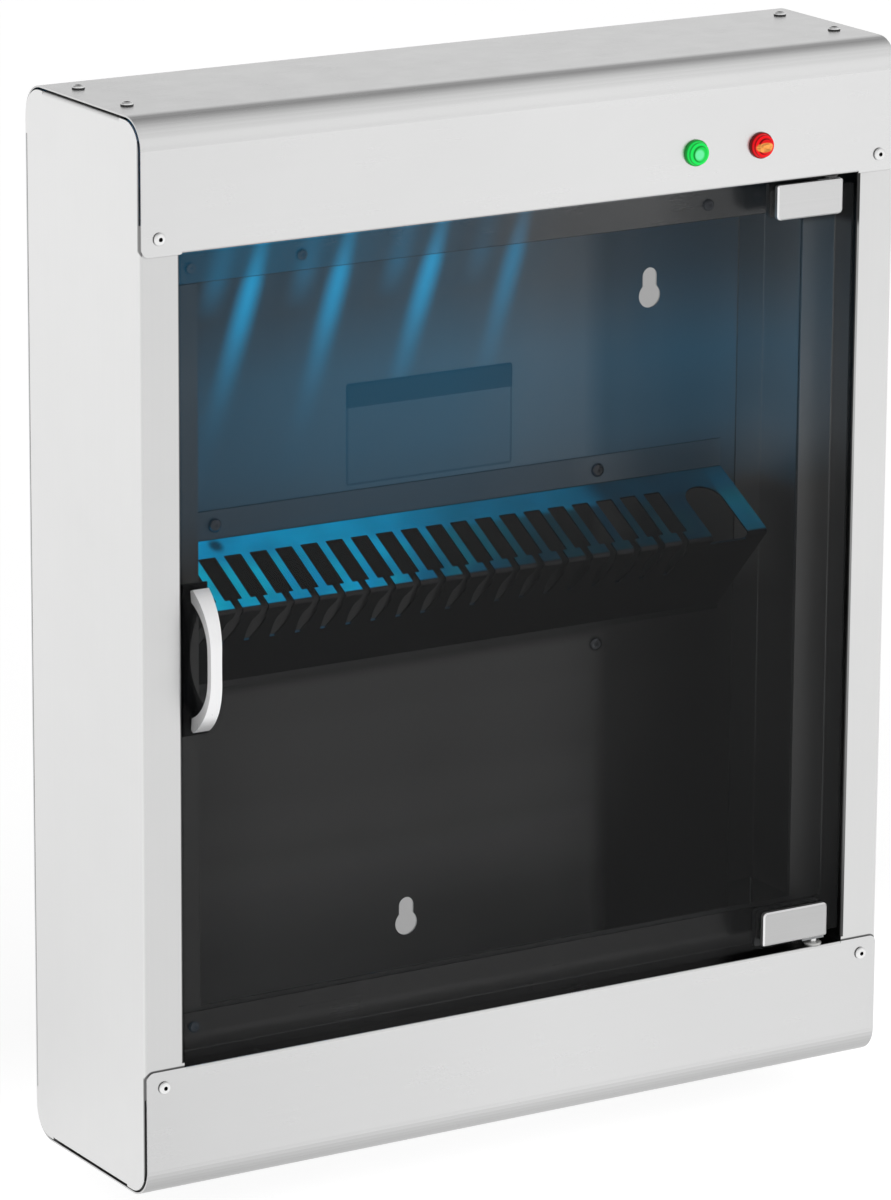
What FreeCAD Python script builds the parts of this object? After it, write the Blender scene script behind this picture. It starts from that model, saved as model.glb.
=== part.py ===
import FreeCAD, Part
import os
import math

# Wall cabinet for sterilising kitchen knives with an ultraviolet tube.
# Laid out in millimetres from the lower left front corner of the casing
# (X right, Y towards the wall, Z up), then moved so that the origin is the
# centre of the face that rests on the wall.

os.makedirs("parts", exist_ok=True)
V = FreeCAD.Vector

# ---------------------------------------------------------------- dimensions
W, H, D = 515.0, 640.0, 138.0          # casing width, height, depth
R_CASE = 18.0                          # radius of the four profile corners
T_SIDE = 1.2                           # side panel sheet
T_COV = 1.0                            # top and bottom cover sheet
T_BACK = 1.2                           # back panel sheet
COV_INSET = 0.8                        # cover edge inside the side panel face
EDGE_GAP = 1.3                         # open joint between cover and side panel
OPEN_X0, OPEN_X1 = 26.0, 489.0         # door opening
OPEN_Z0, OPEN_Z1 = 80.5, 561.5
LIP = 23.5                             # lip width around the recess
RECESS = 24.0                          # recess depth behind the front
FLANGE_Z0, FLANGE_Z1 = 62.0, 580.0     # front flange run of a side panel

GLASS_Y0, GLASS_T = 3.1, 5.0
GLASS_X0, GLASS_X1 = 27.6, 487.2
GLASS_Z0, GLASS_Z1 = 82.3, 559.7
PIVOT_X, PIVOT_Y = 471.0, 5.6
HINGE_X0, HINGE_X1 = 430.0, 477.0
HINGE_H = 21.2
PIN_R = 2.5
PIN_FIT = 0.05

CEIL_Z, T_CEIL = 559.0, 1.0            # lamp shield
LOUVRE_N, LOUVRE_P, LOUVRE_W = 7, 59.0, 10.0
LOUVRE_Y0, LOUVRE_Y1 = 52.0, 92.0
TUBE_Y, TUBE_Z, TUBE_R = 72.0, 590.0, 13.0
TUBE_LEN = 438.0

RACK_X0, RACK_X1 = 31.5, 483.5
T_RACK = 1.2
RACK_BACK_Y = D - T_BACK - T_RACK
RACK_TOP, RACK_BEND_Z = 370.0, 352.5
RACK_FRONT_Y, RACK_FRONT_Z = 81.0, 323.0
RACK_LOW_Z, RACK_BOTTOM = 263.8, 231.0
SLOT_X, SLOT_P, SLOT_W, SLOT_N = 51.38, 17.44, 11.8, 22
SLOT_S0, SLOT_S1 = 9.7, 46.8           # slot ends, from the front edge
NECK_W, NECK_DOWN = 5.1, 6.5
LEAF = ((6.0, 5.1), (13.5, 9.8), (22.0, 9.0), (35.5, 3.6))   # apron slot: (distance, width)
STEEL_X0, STEEL_X1, STEEL_S1 = 443.5, 469.5, 46.7

KEY_R, KEY_NECK_W = 7.75, 10.3
KEY_UPPER_X, KEY_UPPER_Z, KEY_UPPER_TOP = (85.0, 430.0), 466.5, 484.0
KEY_LOWER_X, KEY_LOWER_Z, KEY_LOWER_TOP = 257.5, 90.0, 106.5

LAMP_X = (371.6, 417.6)                # pilot lamps
LAMP_Z = 585.2

HANDLE_X, HANDLE_Z0, HANDLE_Z1 = 37.8, 280.0, 365.0
HANDLE_W_END, HANDLE_W_MID = 10.8, 7.2
HANDLE_OUT, HANDLE_T = 17.8, 4.0       # reach in front of the casing, thickness
HANDLE_FLAT = 9.0                      # half length of the straight middle

SCREW_R, HEAD_R, HEAD_H = 2.0, 3.8, 2.0
HOLE_R = 2.05

GLAND_X, GLAND_Y = 455.0, 108.0
ROCKER_X, ROCKER_Y = 404.0, 100.0
SWITCH_X, SWITCH_Z, PLUNGER_R = 451.5, 549.0, 3.0
CATCH_Z0, CATCH_Z1 = 302.0, 343.0


# ------------------------------------------------------------------- helpers
def path_edges(pts, radii, to3, closed=False):
    """Lines joined by tangent arcs through 2-D points, mapped to 3-D."""
    n = len(pts)
    seq = []
    for i in range(n):
        p = pts[i]
        r = radii[i]
        if (not closed and i in (0, n - 1)) or r <= 1e-6:
            seq.append((p, None, p))
            continue
        a = pts[(i - 1) % n]
        b = pts[(i + 1) % n]
        d1 = (p[0] - a[0], p[1] - a[1])
        d2 = (b[0] - p[0], b[1] - p[1])
        l1, l2 = math.hypot(*d1), math.hypot(*d2)
        d1 = (d1[0] / l1, d1[1] / l1)
        d2 = (d2[0] / l2, d2[1] / l2)
        turn = math.acos(max(-1, min(1, d1[0] * d2[0] + d1[1] * d2[1])))
        if turn < 1e-6:
            seq.append((p, None, p))
            continue
        t = r * math.tan(turn / 2)
        s = (p[0] - d1[0] * t, p[1] - d1[1] * t)
        e = (p[0] + d2[0] * t, p[1] + d2[1] * t)
        k = r / math.cos(turn / 2)
        mx, my = (s[0] + e[0]) / 2 - p[0], (s[1] + e[1]) / 2 - p[1]
        ml = math.hypot(mx, my)
        m = (p[0] + mx / ml * (k - r), p[1] + my / ml * (k - r))
        seq.append((s, m, e))
    edges = []
    cnt = n if closed else n - 1
    for i in range(n):
        s, m, e = seq[i]
        if m is not None:
            edges.append(Part.Arc(to3(*s), to3(*m), to3(*e)).toShape())
        if i < cnt:
            s2 = seq[(i + 1) % n][0]
            if math.hypot(s2[0] - e[0], s2[1] - e[1]) > 1e-6:
                edges.append(Part.makeLine(to3(*e), to3(*s2)))
    return edges


def offset_pts(pts, t):
    """Open polyline moved by t to its left side."""
    n = len(pts)
    dirs = []
    for i in range(n - 1):
        dx, dy = pts[i + 1][0] - pts[i][0], pts[i + 1][1] - pts[i][1]
        l = math.hypot(dx, dy)
        dirs.append((dx / l, dy / l))
    out = []
    for i in range(n):
        if i == 0 or i == n - 1:
            d = dirs[0] if i == 0 else dirs[-1]
            out.append((pts[i][0] - d[1] * t, pts[i][1] + d[0] * t))
        else:
            a, b = dirs[i - 1], dirs[i]
            n1, n2 = (-a[1], a[0]), (-b[1], b[0])
            k = 1 + n1[0] * n2[0] + n1[1] * n2[1]
            out.append((pts[i][0] + (n1[0] + n2[0]) / k * t,
                        pts[i][1] + (n1[1] + n2[1]) / k * t))
    return out


def strip_face(pts, t, r_out, to3):
    """Bent sheet section: t is positive to the left of the path.
    r_out gives the outer bend radius at each inner point of the path."""
    n = len(pts)
    off = offset_pts(pts, t)
    ra, rb = [0] * n, [0] * n
    for i in range(1, n - 1):
        d1 = (pts[i][0] - pts[i - 1][0], pts[i][1] - pts[i - 1][1])
        d2 = (pts[i + 1][0] - pts[i][0], pts[i + 1][1] - pts[i][1])
        left = (d1[0] * d2[1] - d1[1] * d2[0]) > 0
        ro = r_out[i - 1] if isinstance(r_out, (list, tuple)) else r_out
        ri = max(ro - abs(t), 0.0)
        off_inner = left == (t > 0)
        ra[i], rb[i] = (ro, ri) if off_inner else (ri, ro)
    e1 = path_edges(pts, ra, to3)
    e2 = path_edges(off, rb, to3)
    caps = [Part.makeLine(to3(*pts[0]), to3(*off[0])),
            Part.makeLine(to3(*pts[-1]), to3(*off[-1]))]
    edges = Part.__sortEdges__(e1 + caps + e2)
    return Part.Face(Part.Wire(edges))


def strip_x(pts, t, r_out, x0, x1):
    f = strip_face(pts, t, r_out, lambda y, z: V(x0, y, z))
    return f.extrude(V(x1 - x0, 0, 0))


def strip_z(pts, t, r_out, z0, z1):
    f = strip_face(pts, t, r_out, lambda x, y: V(x, y, z0))
    return f.extrude(V(0, 0, z1 - z0))


def strip_y(pts, t, r_out, y0, y1):
    f = strip_face(pts, t, r_out, lambda x, z: V(x, y0, z))
    return f.extrude(V(0, y1 - y0, 0))


def box(x0, y0, z0, x1, y1, z1):
    return Part.makeBox(x1 - x0, y1 - y0, z1 - z0, V(x0, y0, z0))


def closed_face(pts, radii, to3):
    return Part.Face(Part.Wire(Part.__sortEdges__(path_edges(pts, radii, to3, True))))


def plate_y(x0, z0, x1, z1, y0, y1, r):
    """Plate normal to Y with corner radii r = (x0z0, x1z0, x1z1, x0z1)."""
    if not isinstance(r, (list, tuple)):
        r = (r,) * 4
    f = closed_face([(x0, z0), (x1, z0), (x1, z1), (x0, z1)], list(r),
                    lambda x, z: V(x, y0, z))
    return f.extrude(V(0, y1 - y0, 0))


def plate_z(x0, y0, x1, y1, z0, z1, r):
    if not isinstance(r, (list, tuple)):
        r = (r,) * 4
    f = closed_face([(x0, y0), (x1, y0), (x1, y1), (x0, y1)], list(r),
                    lambda x, y: V(x, y, z0))
    return f.extrude(V(0, 0, z1 - z0))


def cyl(x, y, z, r, h, d=(0, 0, 1)):
    return Part.makeCylinder(r, h, V(x, y, z), V(*d))


def revolve_profile(pts, radii, base, axis):
    """Closed profile of (radius, height) points turned about an axis."""
    ax = V(*axis)
    ax.normalize()
    side = V(1, 0, 0) if abs(ax.x) < 0.9 else V(0, 1, 0)
    side = (side - ax * side.dot(ax))
    side.normalize()
    b = V(*base)
    f = closed_face(pts, radii, lambda r, h: b + side * r + ax * h)
    return f.revolve(b, ax, 360)


def pan_screw(base, axis, length, head_r=HEAD_R, head_h=HEAD_H, r=SCREW_R):
    """Pan head screw: base is the centre of the seat, axis points out of the
    head; the shank runs the other way. Small hexagon socket in the head."""
    ax = V(*axis)
    s = revolve_profile([(0, -length), (r - 0.4, -length), (r, -length + 0.5),
                         (r, 0), (head_r, 0), (head_r, head_h), (0, head_h)],
                        [0, 0, 0, 0, 0.2, head_h * 0.75, 0], base, axis)
    side = V(1, 0, 0) if abs(ax.x) < 0.9 else V(0, 1, 0)
    other = ax.cross(side)
    top = V(*base) + ax * (head_h + 0.1)
    p = [top + side * (1.25 * math.cos(math.radians(60 * k)))
         + other * (1.25 * math.sin(math.radians(60 * k))) for k in range(6)]
    f = Part.Face(Part.makePolygon(p + [p[0]]))
    return s.cut(f.extrude(ax * -1.4))


def csk_screw(base, axis, length, head_r=3.6, head_h=2.0, r=1.95):
    """Low round head with a hexagon socket."""
    s = revolve_profile([(0, -length), (r, -length), (r, 0), (head_r, 0),
                         (head_r, head_h), (0, head_h)],
                        [0, 0.4, 0, 0.2, 0.9, 0], base, axis)
    ax = V(*axis)
    top = V(*base) + ax * (head_h + 0.1)
    side = V(1, 0, 0) if abs(ax.x) < 0.9 else V(0, 1, 0)
    other = ax.cross(side)
    p = [top + side * (1.5 * math.cos(math.radians(60 * k)))
         + other * (1.5 * math.sin(math.radians(60 * k))) for k in range(6)]
    f = Part.Face(Part.makePolygon(p + [p[0]]))
    return s.cut(f.extrude(ax * -1.4))


def mirror_x(s):
    return s.mirror(V(W / 2, 0, 0), V(1, 0, 0))


def mirror_z(s):
    return s.mirror(V(0, 0, H / 2), V(0, 0, 1))


parts = {}


def put(name, *shapes):
    sh = [s.removeSplitter() for s in shapes]
    parts[name] = sh


# -------------------------------------------------------------- side panels
REAR_Y = D - T_BACK                    # the side panel ends at the back panel
e_s = T_COV + EDGE_GAP
r_s = R_CASE - e_s
plate = closed_face([(e_s, e_s), (REAR_Y, e_s), (REAR_Y, H - e_s), (e_s, H - e_s)],
                    [r_s, r_s + 1.1, r_s + 1.1, r_s], lambda y, z: V(0, y, z))
plate = plate.extrude(V(T_SIDE, 0, 0))
plate = plate.cut(box(-1, 0, FLANGE_Z0, 3, 30, FLANGE_Z1))
plate = plate.cut(box(-1, 24, H - 30, 3, 116, H))
plate = plate.cut(box(-1, 24, 0, 3, 116, 30))
plate = plate.cut(box(-1, REAR_Y - 20, 30, 3, D, H - 30))
R_B = 2.2
flange = [(0, 30), (0, T_COV), (OPEN_X0, T_COV)]
ret = flange + [(OPEN_X0, RECESS)]
lip = ret + [(OPEN_X0 + LIP, RECESS)]
lz0, lz1 = OPEN_Z0 + LIP + 0.6, OPEN_Z1 - LIP - 0.6
# the top and bottom flanges step up to the cover behind the open joint
joggle = [(0, H - 30), (0, H - e_s), (4.2, H - e_s), (5.8, H - T_COV), (24, H - T_COV)]
side = plate.fuse([
    strip_z(flange, T_SIDE, R_B, FLANGE_Z0, OPEN_Z0 + 0.5),
    strip_z(flange, T_SIDE, R_B, OPEN_Z1 - 0.5, FLANGE_Z1),
    strip_z(ret, T_SIDE, R_B, OPEN_Z0 + 0.5, lz0),
    strip_z(ret, T_SIDE, R_B, lz1, OPEN_Z1 - 0.5),
    strip_z(lip, T_SIDE, R_B, lz0, lz1),
    strip_y(joggle, -T_SIDE, [R_B, T_SIDE, T_SIDE], 24, 116),
    strip_y([(x, H - z) for x, z in joggle], T_SIDE, [R_B, T_SIDE, T_SIDE], 24, 116),
    strip_z([(0, REAR_Y - 20), (0, REAR_Y), (20, REAR_Y)], -T_SIDE, R_B, 30, H - 30),
])
for z in (571.5, H - 571.5):
    side = side.cut(cyl(12, -2, z, HOLE_R, 8, (0, 1, 0)))
for y in (44, 102):
    side = side.cut(cyl(16, y, H - 6, HOLE_R, 8))
    side = side.cut(cyl(16, y, -2, HOLE_R, 8))
put("side_panel_left", side)
put("side_panel_right", mirror_x(side))

# ------------------------------------------------------------ top and bottom
cx0, cx1 = COV_INSET, W - COV_INSET
mx0, mx1 = OPEN_X0 + 0.5, OPEN_X1 - 0.5
Z_CUT = OPEN_Z1 + 5.0
R_FOLD = 1.8


def cover_blank():
    main = strip_x([(0, Z_CUT), (0, H), (D, H), (D, H - R_CASE - 0.01)], -T_COV,
                   [R_CASE, R_CASE - 0.001], cx0, cx1)
    mid = strip_x([(RECESS, OPEN_Z1 - LIP), (RECESS, OPEN_Z1), (0, OPEN_Z1),
                   (0, Z_CUT)], -T_COV, [R_FOLD, R_FOLD], mx0, mx1)
    tab_l = plate_y(cx0, OPEN_Z1, mx0, Z_CUT, 0, T_COV, (4.5, 0, 0, 0))
    tab_r = plate_y(mx1, OPEN_Z1, cx1, Z_CUT, 0, T_COV, (0, 4.5, 0, 0))
    c = main.fuse([mid, tab_l, tab_r])
    for x in (12, W - 12):
        c = c.cut(cyl(x, -2, 571.5, HOLE_R, 8, (0, 1, 0)))
    for x in (16, W - 16):
        for y in (44, 102):
            c = c.cut(cyl(x, y, H - 6, HOLE_R, 8))
    # lip screws and hinge bush
    for x in (45, W - 45):
        c = c.cut(cyl(x, 20, 547, HOLE_R, 10, (0, 1, 0)))
    c = c.cut(cyl(PIVOT_X, PIVOT_Y, OPEN_Z1 - 2, 4.5, 6))
    return c


top = cover_blank()
bottom = mirror_z(top)
for x in (118, W - 118):
    top = top.cut(cyl(x, 20, 547, HOLE_R, 10, (0, 1, 0)))
for x in LAMP_X:
    top = top.cut(cyl(x, -2, LAMP_Z, 6.1, 8, (0, 1, 0)))
top = top.cut(cyl(SWITCH_X, 20, SWITCH_Z, 4.6, 10, (0, 1, 0)))
bottom = bottom.cut(cyl(GLAND_X, GLAND_Y, -3, 8.05, 8))
bottom = bottom.cut(box(ROCKER_X - 9.6, ROCKER_Y - 6.5, -3, ROCKER_X + 9.6, ROCKER_Y + 6.5, 4))
put("top_cover", top)
put("bottom_cover", bottom)

# ---------------------------------------------------------------- back panel
back = plate_y(0.6, R_CASE + 0.3, W - 0.6, H - R_CASE - 0.3, REAR_Y, D, 3.0)


def keyhole(x, z, top_z):
    s = cyl(x, REAR_Y - 2, z, KEY_R, 6, (0, 1, 0))
    zc = top_z - KEY_NECK_W / 2
    s = s.fuse(cyl(x, REAR_Y - 2, zc, KEY_NECK_W / 2, 6, (0, 1, 0)))
    return s.fuse(box(x - KEY_NECK_W / 2, REAR_Y - 2, z, x + KEY_NECK_W / 2, D + 2, zc))


for x in KEY_UPPER_X:
    back = back.cut(keyhole(x, KEY_UPPER_Z, KEY_UPPER_TOP))
back = back.cut(keyhole(KEY_LOWER_X, KEY_LOWER_Z, KEY_LOWER_TOP))
RACK_SCREWS = [(122.5, 361), (392.5, 361), (122.5, 250), (392.5, 250)]
for x, z in RACK_SCREWS:
    back = back.cut(cyl(x, REAR_Y - 3, z, HOLE_R, 8, (0, 1, 0)))
put("back_panel", back)

put("info_label", plate_y(214, 373, 331, 436, REAR_Y - 0.3, REAR_Y, 2.0))

# --------------------------------------------------------------- inner frame
fy0, fy1 = RECESS + T_SIDE, RECESS + 2 * T_SIDE
inner = plate_y(28, OPEN_Z0 + 3.5, W - 28, OPEN_Z1 - 3.5, fy0, fy1, 2)
inner = inner.cut(plate_y(OPEN_X0 + LIP + 0.6, OPEN_Z0 + LIP + 0.6,
                          OPEN_X1 - LIP - 0.6, OPEN_Z1 - LIP - 0.6,
                          fy0 - 1, fy1 + 1, 1.0))
for x in (45, W - 45):
    for z in (547, H - 547):
        inner = inner.cut(cyl(x, 20, z, HOLE_R, 10, (0, 1, 0)))
for x in (118, W - 118):
    inner = inner.cut(cyl(x, 20, 547, HOLE_R, 10, (0, 1, 0)))
inner = inner.cut(cyl(SWITCH_X, 20, SWITCH_Z, 4.6, 10, (0, 1, 0)))
put("inner_frame", inner)

# --------------------------------------------------------------- lamp shield
sy = fy1
sr = REAR_Y - T_CEIL
shield = strip_x([(sy, 541), (sy, CEIL_Z + T_CEIL), (sr, CEIL_Z + T_CEIL),
                  (sr, CEIL_Z + 16)], -T_CEIL, 1.6, 22, W - 22)
for k in range(LOUVRE_N):
    x = W / 2 + (k - (LOUVRE_N - 1) / 2) * LOUVRE_P
    shield = shield.cut(plate_z(x - LOUVRE_W / 2, LOUVRE_Y0, x + LOUVRE_W / 2,
                                LOUVRE_Y1, CEIL_Z - 2, CEIL_Z + 4, LOUVRE_W / 2 - 0.01))
for x in (45, 118, W - 118, W - 45):
    shield = shield.cut(cyl(x, 20, 547, HOLE_R, 12, (0, 1, 0)))
shield = shield.cut(cyl(SWITCH_X, 20, SWITCH_Z, 4.6, 10, (0, 1, 0)))
put("lamp_shield", shield)
CZ = CEIL_Z + T_CEIL

put("reflector", strip_x([(38, CZ), (48, CZ), (59, CZ + 50), (85, CZ + 50),
                          (96, CZ), (106, CZ)], 0.6,
                         [1.2, 4, 4, 1.2], 58, W - 58))

# ------------------------------------------------------------------- UV tube
tx0, tx1 = (W - TUBE_LEN) / 2, (W + TUBE_LEN) / 2
glass_tube = revolve_profile([(0, 8), (TUBE_R - 0.4, 8), (TUBE_R - 0.4, TUBE_LEN - 8),
                              (0, TUBE_LEN - 8)], [0, 3, 3, 0],
                             (tx0, TUBE_Y, TUBE_Z), (1, 0, 0))
put("uv_tube", glass_tube)


def end_cap():
    c = revolve_profile([(0, 0), (TUBE_R, 0), (TUBE_R, 12), (TUBE_R - 0.4, 12),
                         (TUBE_R - 0.4, 8), (0, 8)], [0, 1.5, 0, 0, 0, 0],
                        (tx0, TUBE_Y, TUBE_Z), (1, 0, 0))
    for dy in (-6.35, 6.35):
        c = c.fuse(cyl(tx0 - 6.5, TUBE_Y + dy, TUBE_Z, 1.2, 7.0, (1, 0, 0)))
    return c


put("tube_end_caps", end_cap(), mirror_x(end_cap()))


def holder():
    f = closed_face([(TUBE_Y - 12, CZ), (TUBE_Y + 12, CZ), (TUBE_Y + 12, TUBE_Z + 12),
                     (TUBE_Y - 12, TUBE_Z + 12)], [1, 1, 11.5, 11.5],
                    lambda y, z: V(tx0 - 10, y, z))
    h = f.extrude(V(9.8, 0, 0))
    h = h.fuse(plate_z(tx0 - 22, TUBE_Y - 15, tx0 - 0.2, TUBE_Y + 15, CZ, CZ + 4, 2))
    for dy in (-6.35, 6.35):
        h = h.cut(cyl(tx0 - 8, TUBE_Y + dy, TUBE_Z, 1.25, 9, (1, 0, 0)))
    for dy in (-9, 9):
        h = h.cut(cyl(tx0 - 16, TUBE_Y + dy, CZ - 1, 1.6, 8))
    return h


put("lamp_holders", holder(), mirror_x(holder()))

# ---------------------------------------------------------- electrical pieces
bal = box(70, 110, CZ + 1.5, 205, 134, CZ + 38)
bal = bal.makeFillet(1.5, bal.Edges)
bal = bal.fuse(box(56, 111, CZ, 219, 133, CZ + 1.6))
bal = bal.fuse([box(62, 114, CZ + 5, 71, 130, CZ + 20), box(204, 114, CZ + 5, 213, 130, CZ + 20)])
for x in (59.5, 215.5):
    bal = bal.cut(cyl(x, 122, CZ - 1, 2.1, 6))
put("ballast", bal)

sh = plate_z(242, 110, 268, 134, CZ, CZ + 9, 3)
sh = sh.cut(cyl(255, 122, CZ + 5, 10.9, 8))
put("starter_holder", sh)
st = revolve_profile([(0, 0), (10.7, 0), (10.7, 36), (0, 36)], [0, 0.8, 2.0, 0],
                     (255, 122, CZ + 5), (0, 0, 1))
put("starter", st)

tb = box(296, 113, CZ, 366, 131, CZ + 8)
tb = tb.fuse(box(296, 117, CZ, 366, 127, CZ + 15))
for k in range(6):
    tb = tb.cut(cyl(302.5 + 11.5 * k, 122, CZ + 9, 2.6, 8))
    tb = tb.cut(cyl(302.5 + 11.5 * k, 110, CZ + 4.2, 2.0, 5, (0, 1, 0)))
put("terminal_block", tb)

# ---------------------------------------------------------------- knife rack
rb = RACK_BACK_Y
rack = strip_x([(rb, RACK_TOP), (rb, RACK_BEND_Z), (RACK_FRONT_Y, RACK_FRONT_Z),
                (rb, RACK_LOW_Z), (rb, RACK_BOTTOM)], T_RACK, [2.4, 2.4, 2.4],
               RACK_X0, RACK_X1)
pl = math.hypot(rb - RACK_FRONT_Y, RACK_BEND_Z - RACK_FRONT_Z)
u1 = ((rb - RACK_FRONT_Y) / pl, (RACK_BEND_Z - RACK_FRONT_Z) / pl)
al = math.hypot(rb - RACK_FRONT_Y, RACK_LOW_Z - RACK_FRONT_Z)
u2 = ((rb - RACK_FRONT_Y) / al, (RACK_LOW_Z - RACK_FRONT_Z) / al)


def tool(pts, u, up=3.0, down=6.0, radii=None):
    """Cutter for points (x, s); s runs from the front bend along u."""
    nrm = V(0, -u[1], u[0]) if u[1] >= 0 else V(0, u[1], -u[0])
    f = closed_face(pts, radii or [0] * len(pts),
                    lambda x, s: V(x, RACK_FRONT_Y + u[0] * s, RACK_FRONT_Z + u[1] * s)
                    + nrm * up)
    return f.extrude(nrm * -(up + down))


cutters = []
for k in range(SLOT_N):
    x0 = SLOT_X + k * SLOT_P
    x1 = x0 + SLOT_W
    n0, n1 = (x0 + x1 - NECK_W) / 2, (x0 + x1 + NECK_W) / 2
    cutters.append(tool([(x0, SLOT_S0), (x1, SLOT_S0), (x1, SLOT_S1), (x0, SLOT_S1)], u1,
                        radii=[0.8] * 4))
    cutters.append(tool([(n0, -4), (n1, -4), (n1, SLOT_S0 + 1), (n0, SLOT_S0 + 1)], u1, 3, 3))
    cutters.append(tool([(n0, -4), (n1, -4), (n1, NECK_DOWN + 1), (n0, NECK_DOWN + 1)], u2, 3, 3))
    c = (x0 + x1) / 2
    cutters.append(tool([(c - b / 2, a) for a, b in LEAF] + [(c + b / 2, a) for a, b in reversed(LEAF)],
                        u2, 3, 5))
w = STEEL_X1 - STEEL_X0
cutters.append(tool([(STEEL_X0, -4), (STEEL_X1, -4), (STEEL_X1, STEEL_S1),
                     (STEEL_X0, STEEL_S1)], u1, 3, 6, [0, 0, w / 2 - 0.01, w / 2 - 0.01]))
cutters.append(tool([(STEEL_X0, -4), (STEEL_X1, -4), (STEEL_X1, NECK_DOWN),
                     (STEEL_X0, NECK_DOWN)], u2, 3, 3, [0, 0, 2, 2]))
rack = rack.cut(cutters)
for x, z in RACK_SCREWS:
    rack = rack.cut(cyl(x, rb - 3, z, HOLE_R, 8, (0, 1, 0)))
put("knife_rack", rack)

# --------------------------------------------------------------- pilot lamps
for nm, x in zip(("pilot_lens_green", "pilot_lens_red"), LAMP_X):
    put(nm, revolve_profile([(0, 0.0), (7.9, 0.0), (7.9, 1.5), (7.1, 1.9), (6.7, 4.3),
                             (4.7, 4.9), (4.5, 6.0), (0, 6.2)],
                            [0, 0.3, 0.5, 0.2, 0.9, 0.2, 0.5, 0], (x, 0, LAMP_Z), (0, -1, 0)))


def pilot_body(x):
    b = cyl(x, 0, LAMP_Z, 6.0, 14, (0, 1, 0))
    b = b.fuse(cyl(x, 14, LAMP_Z, 5.2, 12, (0, 1, 0)))
    return b.fuse([box(x - 3.6, 25.5, LAMP_Z - 0.4, x - 1.6, 32, LAMP_Z + 0.4),
                   box(x + 1.6, 25.5, LAMP_Z - 0.4, x + 3.6, 32, LAMP_Z + 0.4)])


def hexnut(x, y, z, af, hole, h, axis):
    ax = V(*axis)
    side_ = V(1, 0, 0)
    oth = ax.cross(side_)
    k = af / math.sqrt(3)
    p = [V(x, y, z) + side_ * (k * math.cos(math.radians(60 * i)))
         + oth * (k * math.sin(math.radians(60 * i))) for i in range(6)]
    n = Part.Face(Part.makePolygon(p + [p[0]])).extrude(ax * h)
    return n.cut(Part.makeCylinder(hole, h + 2, V(x, y, z) - ax, ax))


put("pilot_bodies", *[pilot_body(x) for x in LAMP_X])
put("pilot_nuts", *[hexnut(x, T_COV, LAMP_Z, 17, 6.02, 4, (0, 1, 0)) for x in LAMP_X])

# ---------------------------------------------------------------- fasteners
cs = []
for x in (12, W - 12):
    for z in (571.5, H - 571.5):
        cs.append(pan_screw((x, 0, z), (0, -1, 0), 8))
for x in (16, W - 16):
    for y in (44, 102):
        cs.append(pan_screw((x, y, H), (0, 0, 1), 8))
        cs.append(pan_screw((x, y, 0), (0, 0, -1), 8))
put("cover_screws", *cs)
fs = []
for x in (45, W - 45):
    fs += [pan_screw((x, RECESS, 547), (0, -1, 0), 7, 3.6, 2.0),
           pan_screw((x, RECESS, H - 547), (0, -1, 0), 7, 3.6, 2.0)]
fs += [pan_screw((x, RECESS, 547), (0, -1, 0), 7, 3.6, 2.0) for x in (118, W - 118)]
put("frame_screws", *fs)
put("rack_screws", *[pan_screw((x, rb, z), (0, -1, 0), T_RACK + T_BACK, 4.4, 2.6)
                     for x, z in RACK_SCREWS])

# -------------------------------------------------------------- hinge bushes


def bush():
    b = revolve_profile([(PIN_R + PIN_FIT, -1.4), (5.3, -1.4), (5.3, 0), (4.48, 0),
                         (4.48, 5), (PIN_R + PIN_FIT, 5)], [0, 0.5, 0, 0, 0.5, 0],
                        (PIVOT_X, PIVOT_Y, OPEN_Z1), (0, 0, 1))
    return b


put("hinge_bushes", bush(), mirror_z(bush()))

# --------------------------------------------------------------------- door
gy1 = GLASS_Y0 + GLASS_T
NOTCH_X, NOTCH = 459.5, 4.6
glass = plate_y(GLASS_X0, GLASS_Z0, GLASS_X1, GLASS_Z1, GLASS_Y0, gy1, 2.0)
glass = glass.cut(box(NOTCH_X, 0, GLASS_Z1 - NOTCH, W, 20, H))
glass = glass.cut(box(NOTCH_X, 0, 0, W, 20, GLASS_Z0 + NOTCH))
UP_Z0 = 538.2                          # lower edge of the upper hinge
LO_Z1 = 106.0                          # upper edge of the lower hinge
HINGE_SCREWS = (440.5, 462.5)
for x in HINGE_SCREWS:
    for z in (UP_Z0 + 8.5, LO_Z1 - 8.5):
        glass = glass.cut(cyl(x, 0, z, 3.0, 20, (0, 1, 0)))
HS = ((HANDLE_X, HANDLE_Z0 + 5.2), (HANDLE_X, HANDLE_Z1 - 5.2))
for x, z in HS:
    glass = glass.cut(cyl(x, 0, z, 2.6, 20, (0, 1, 0)))
put("door_glass", glass)

PAD = 0.8
OUT_Y0, OUT_Y1 = -1.2, GLASS_Y0 - PAD
IN_Y0, IN_Y1 = gy1 + PAD, gy1 + PAD + 3.0


def outer_plate(z0, z1, upper):
    r = (3, 3, 1.2, 1.2) if upper else (1.2, 1.2, 3, 3)
    p = plate_y(HINGE_X0, z0, HINGE_X1, z1, OUT_Y0, OUT_Y1, r)
    front = [e for e in p.Edges if all(abs(v.Y - OUT_Y0) < 1e-6 for v in e.Vertexes)]
    p = p.makeChamfer(0.9, front)
    zc = z0 + 8.5 if upper else z1 - 8.5
    for x in HINGE_SCREWS:
        p = p.cut(cyl(x, OUT_Y1 + 1, zc, 1.98, 3.8, (0, -1, 0)))
    return p


put("hinge_outer_plates", outer_plate(UP_Z0, UP_Z0 + HINGE_H, True),
    outer_plate(LO_Z1 - HINGE_H, LO_Z1, False))


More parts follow.
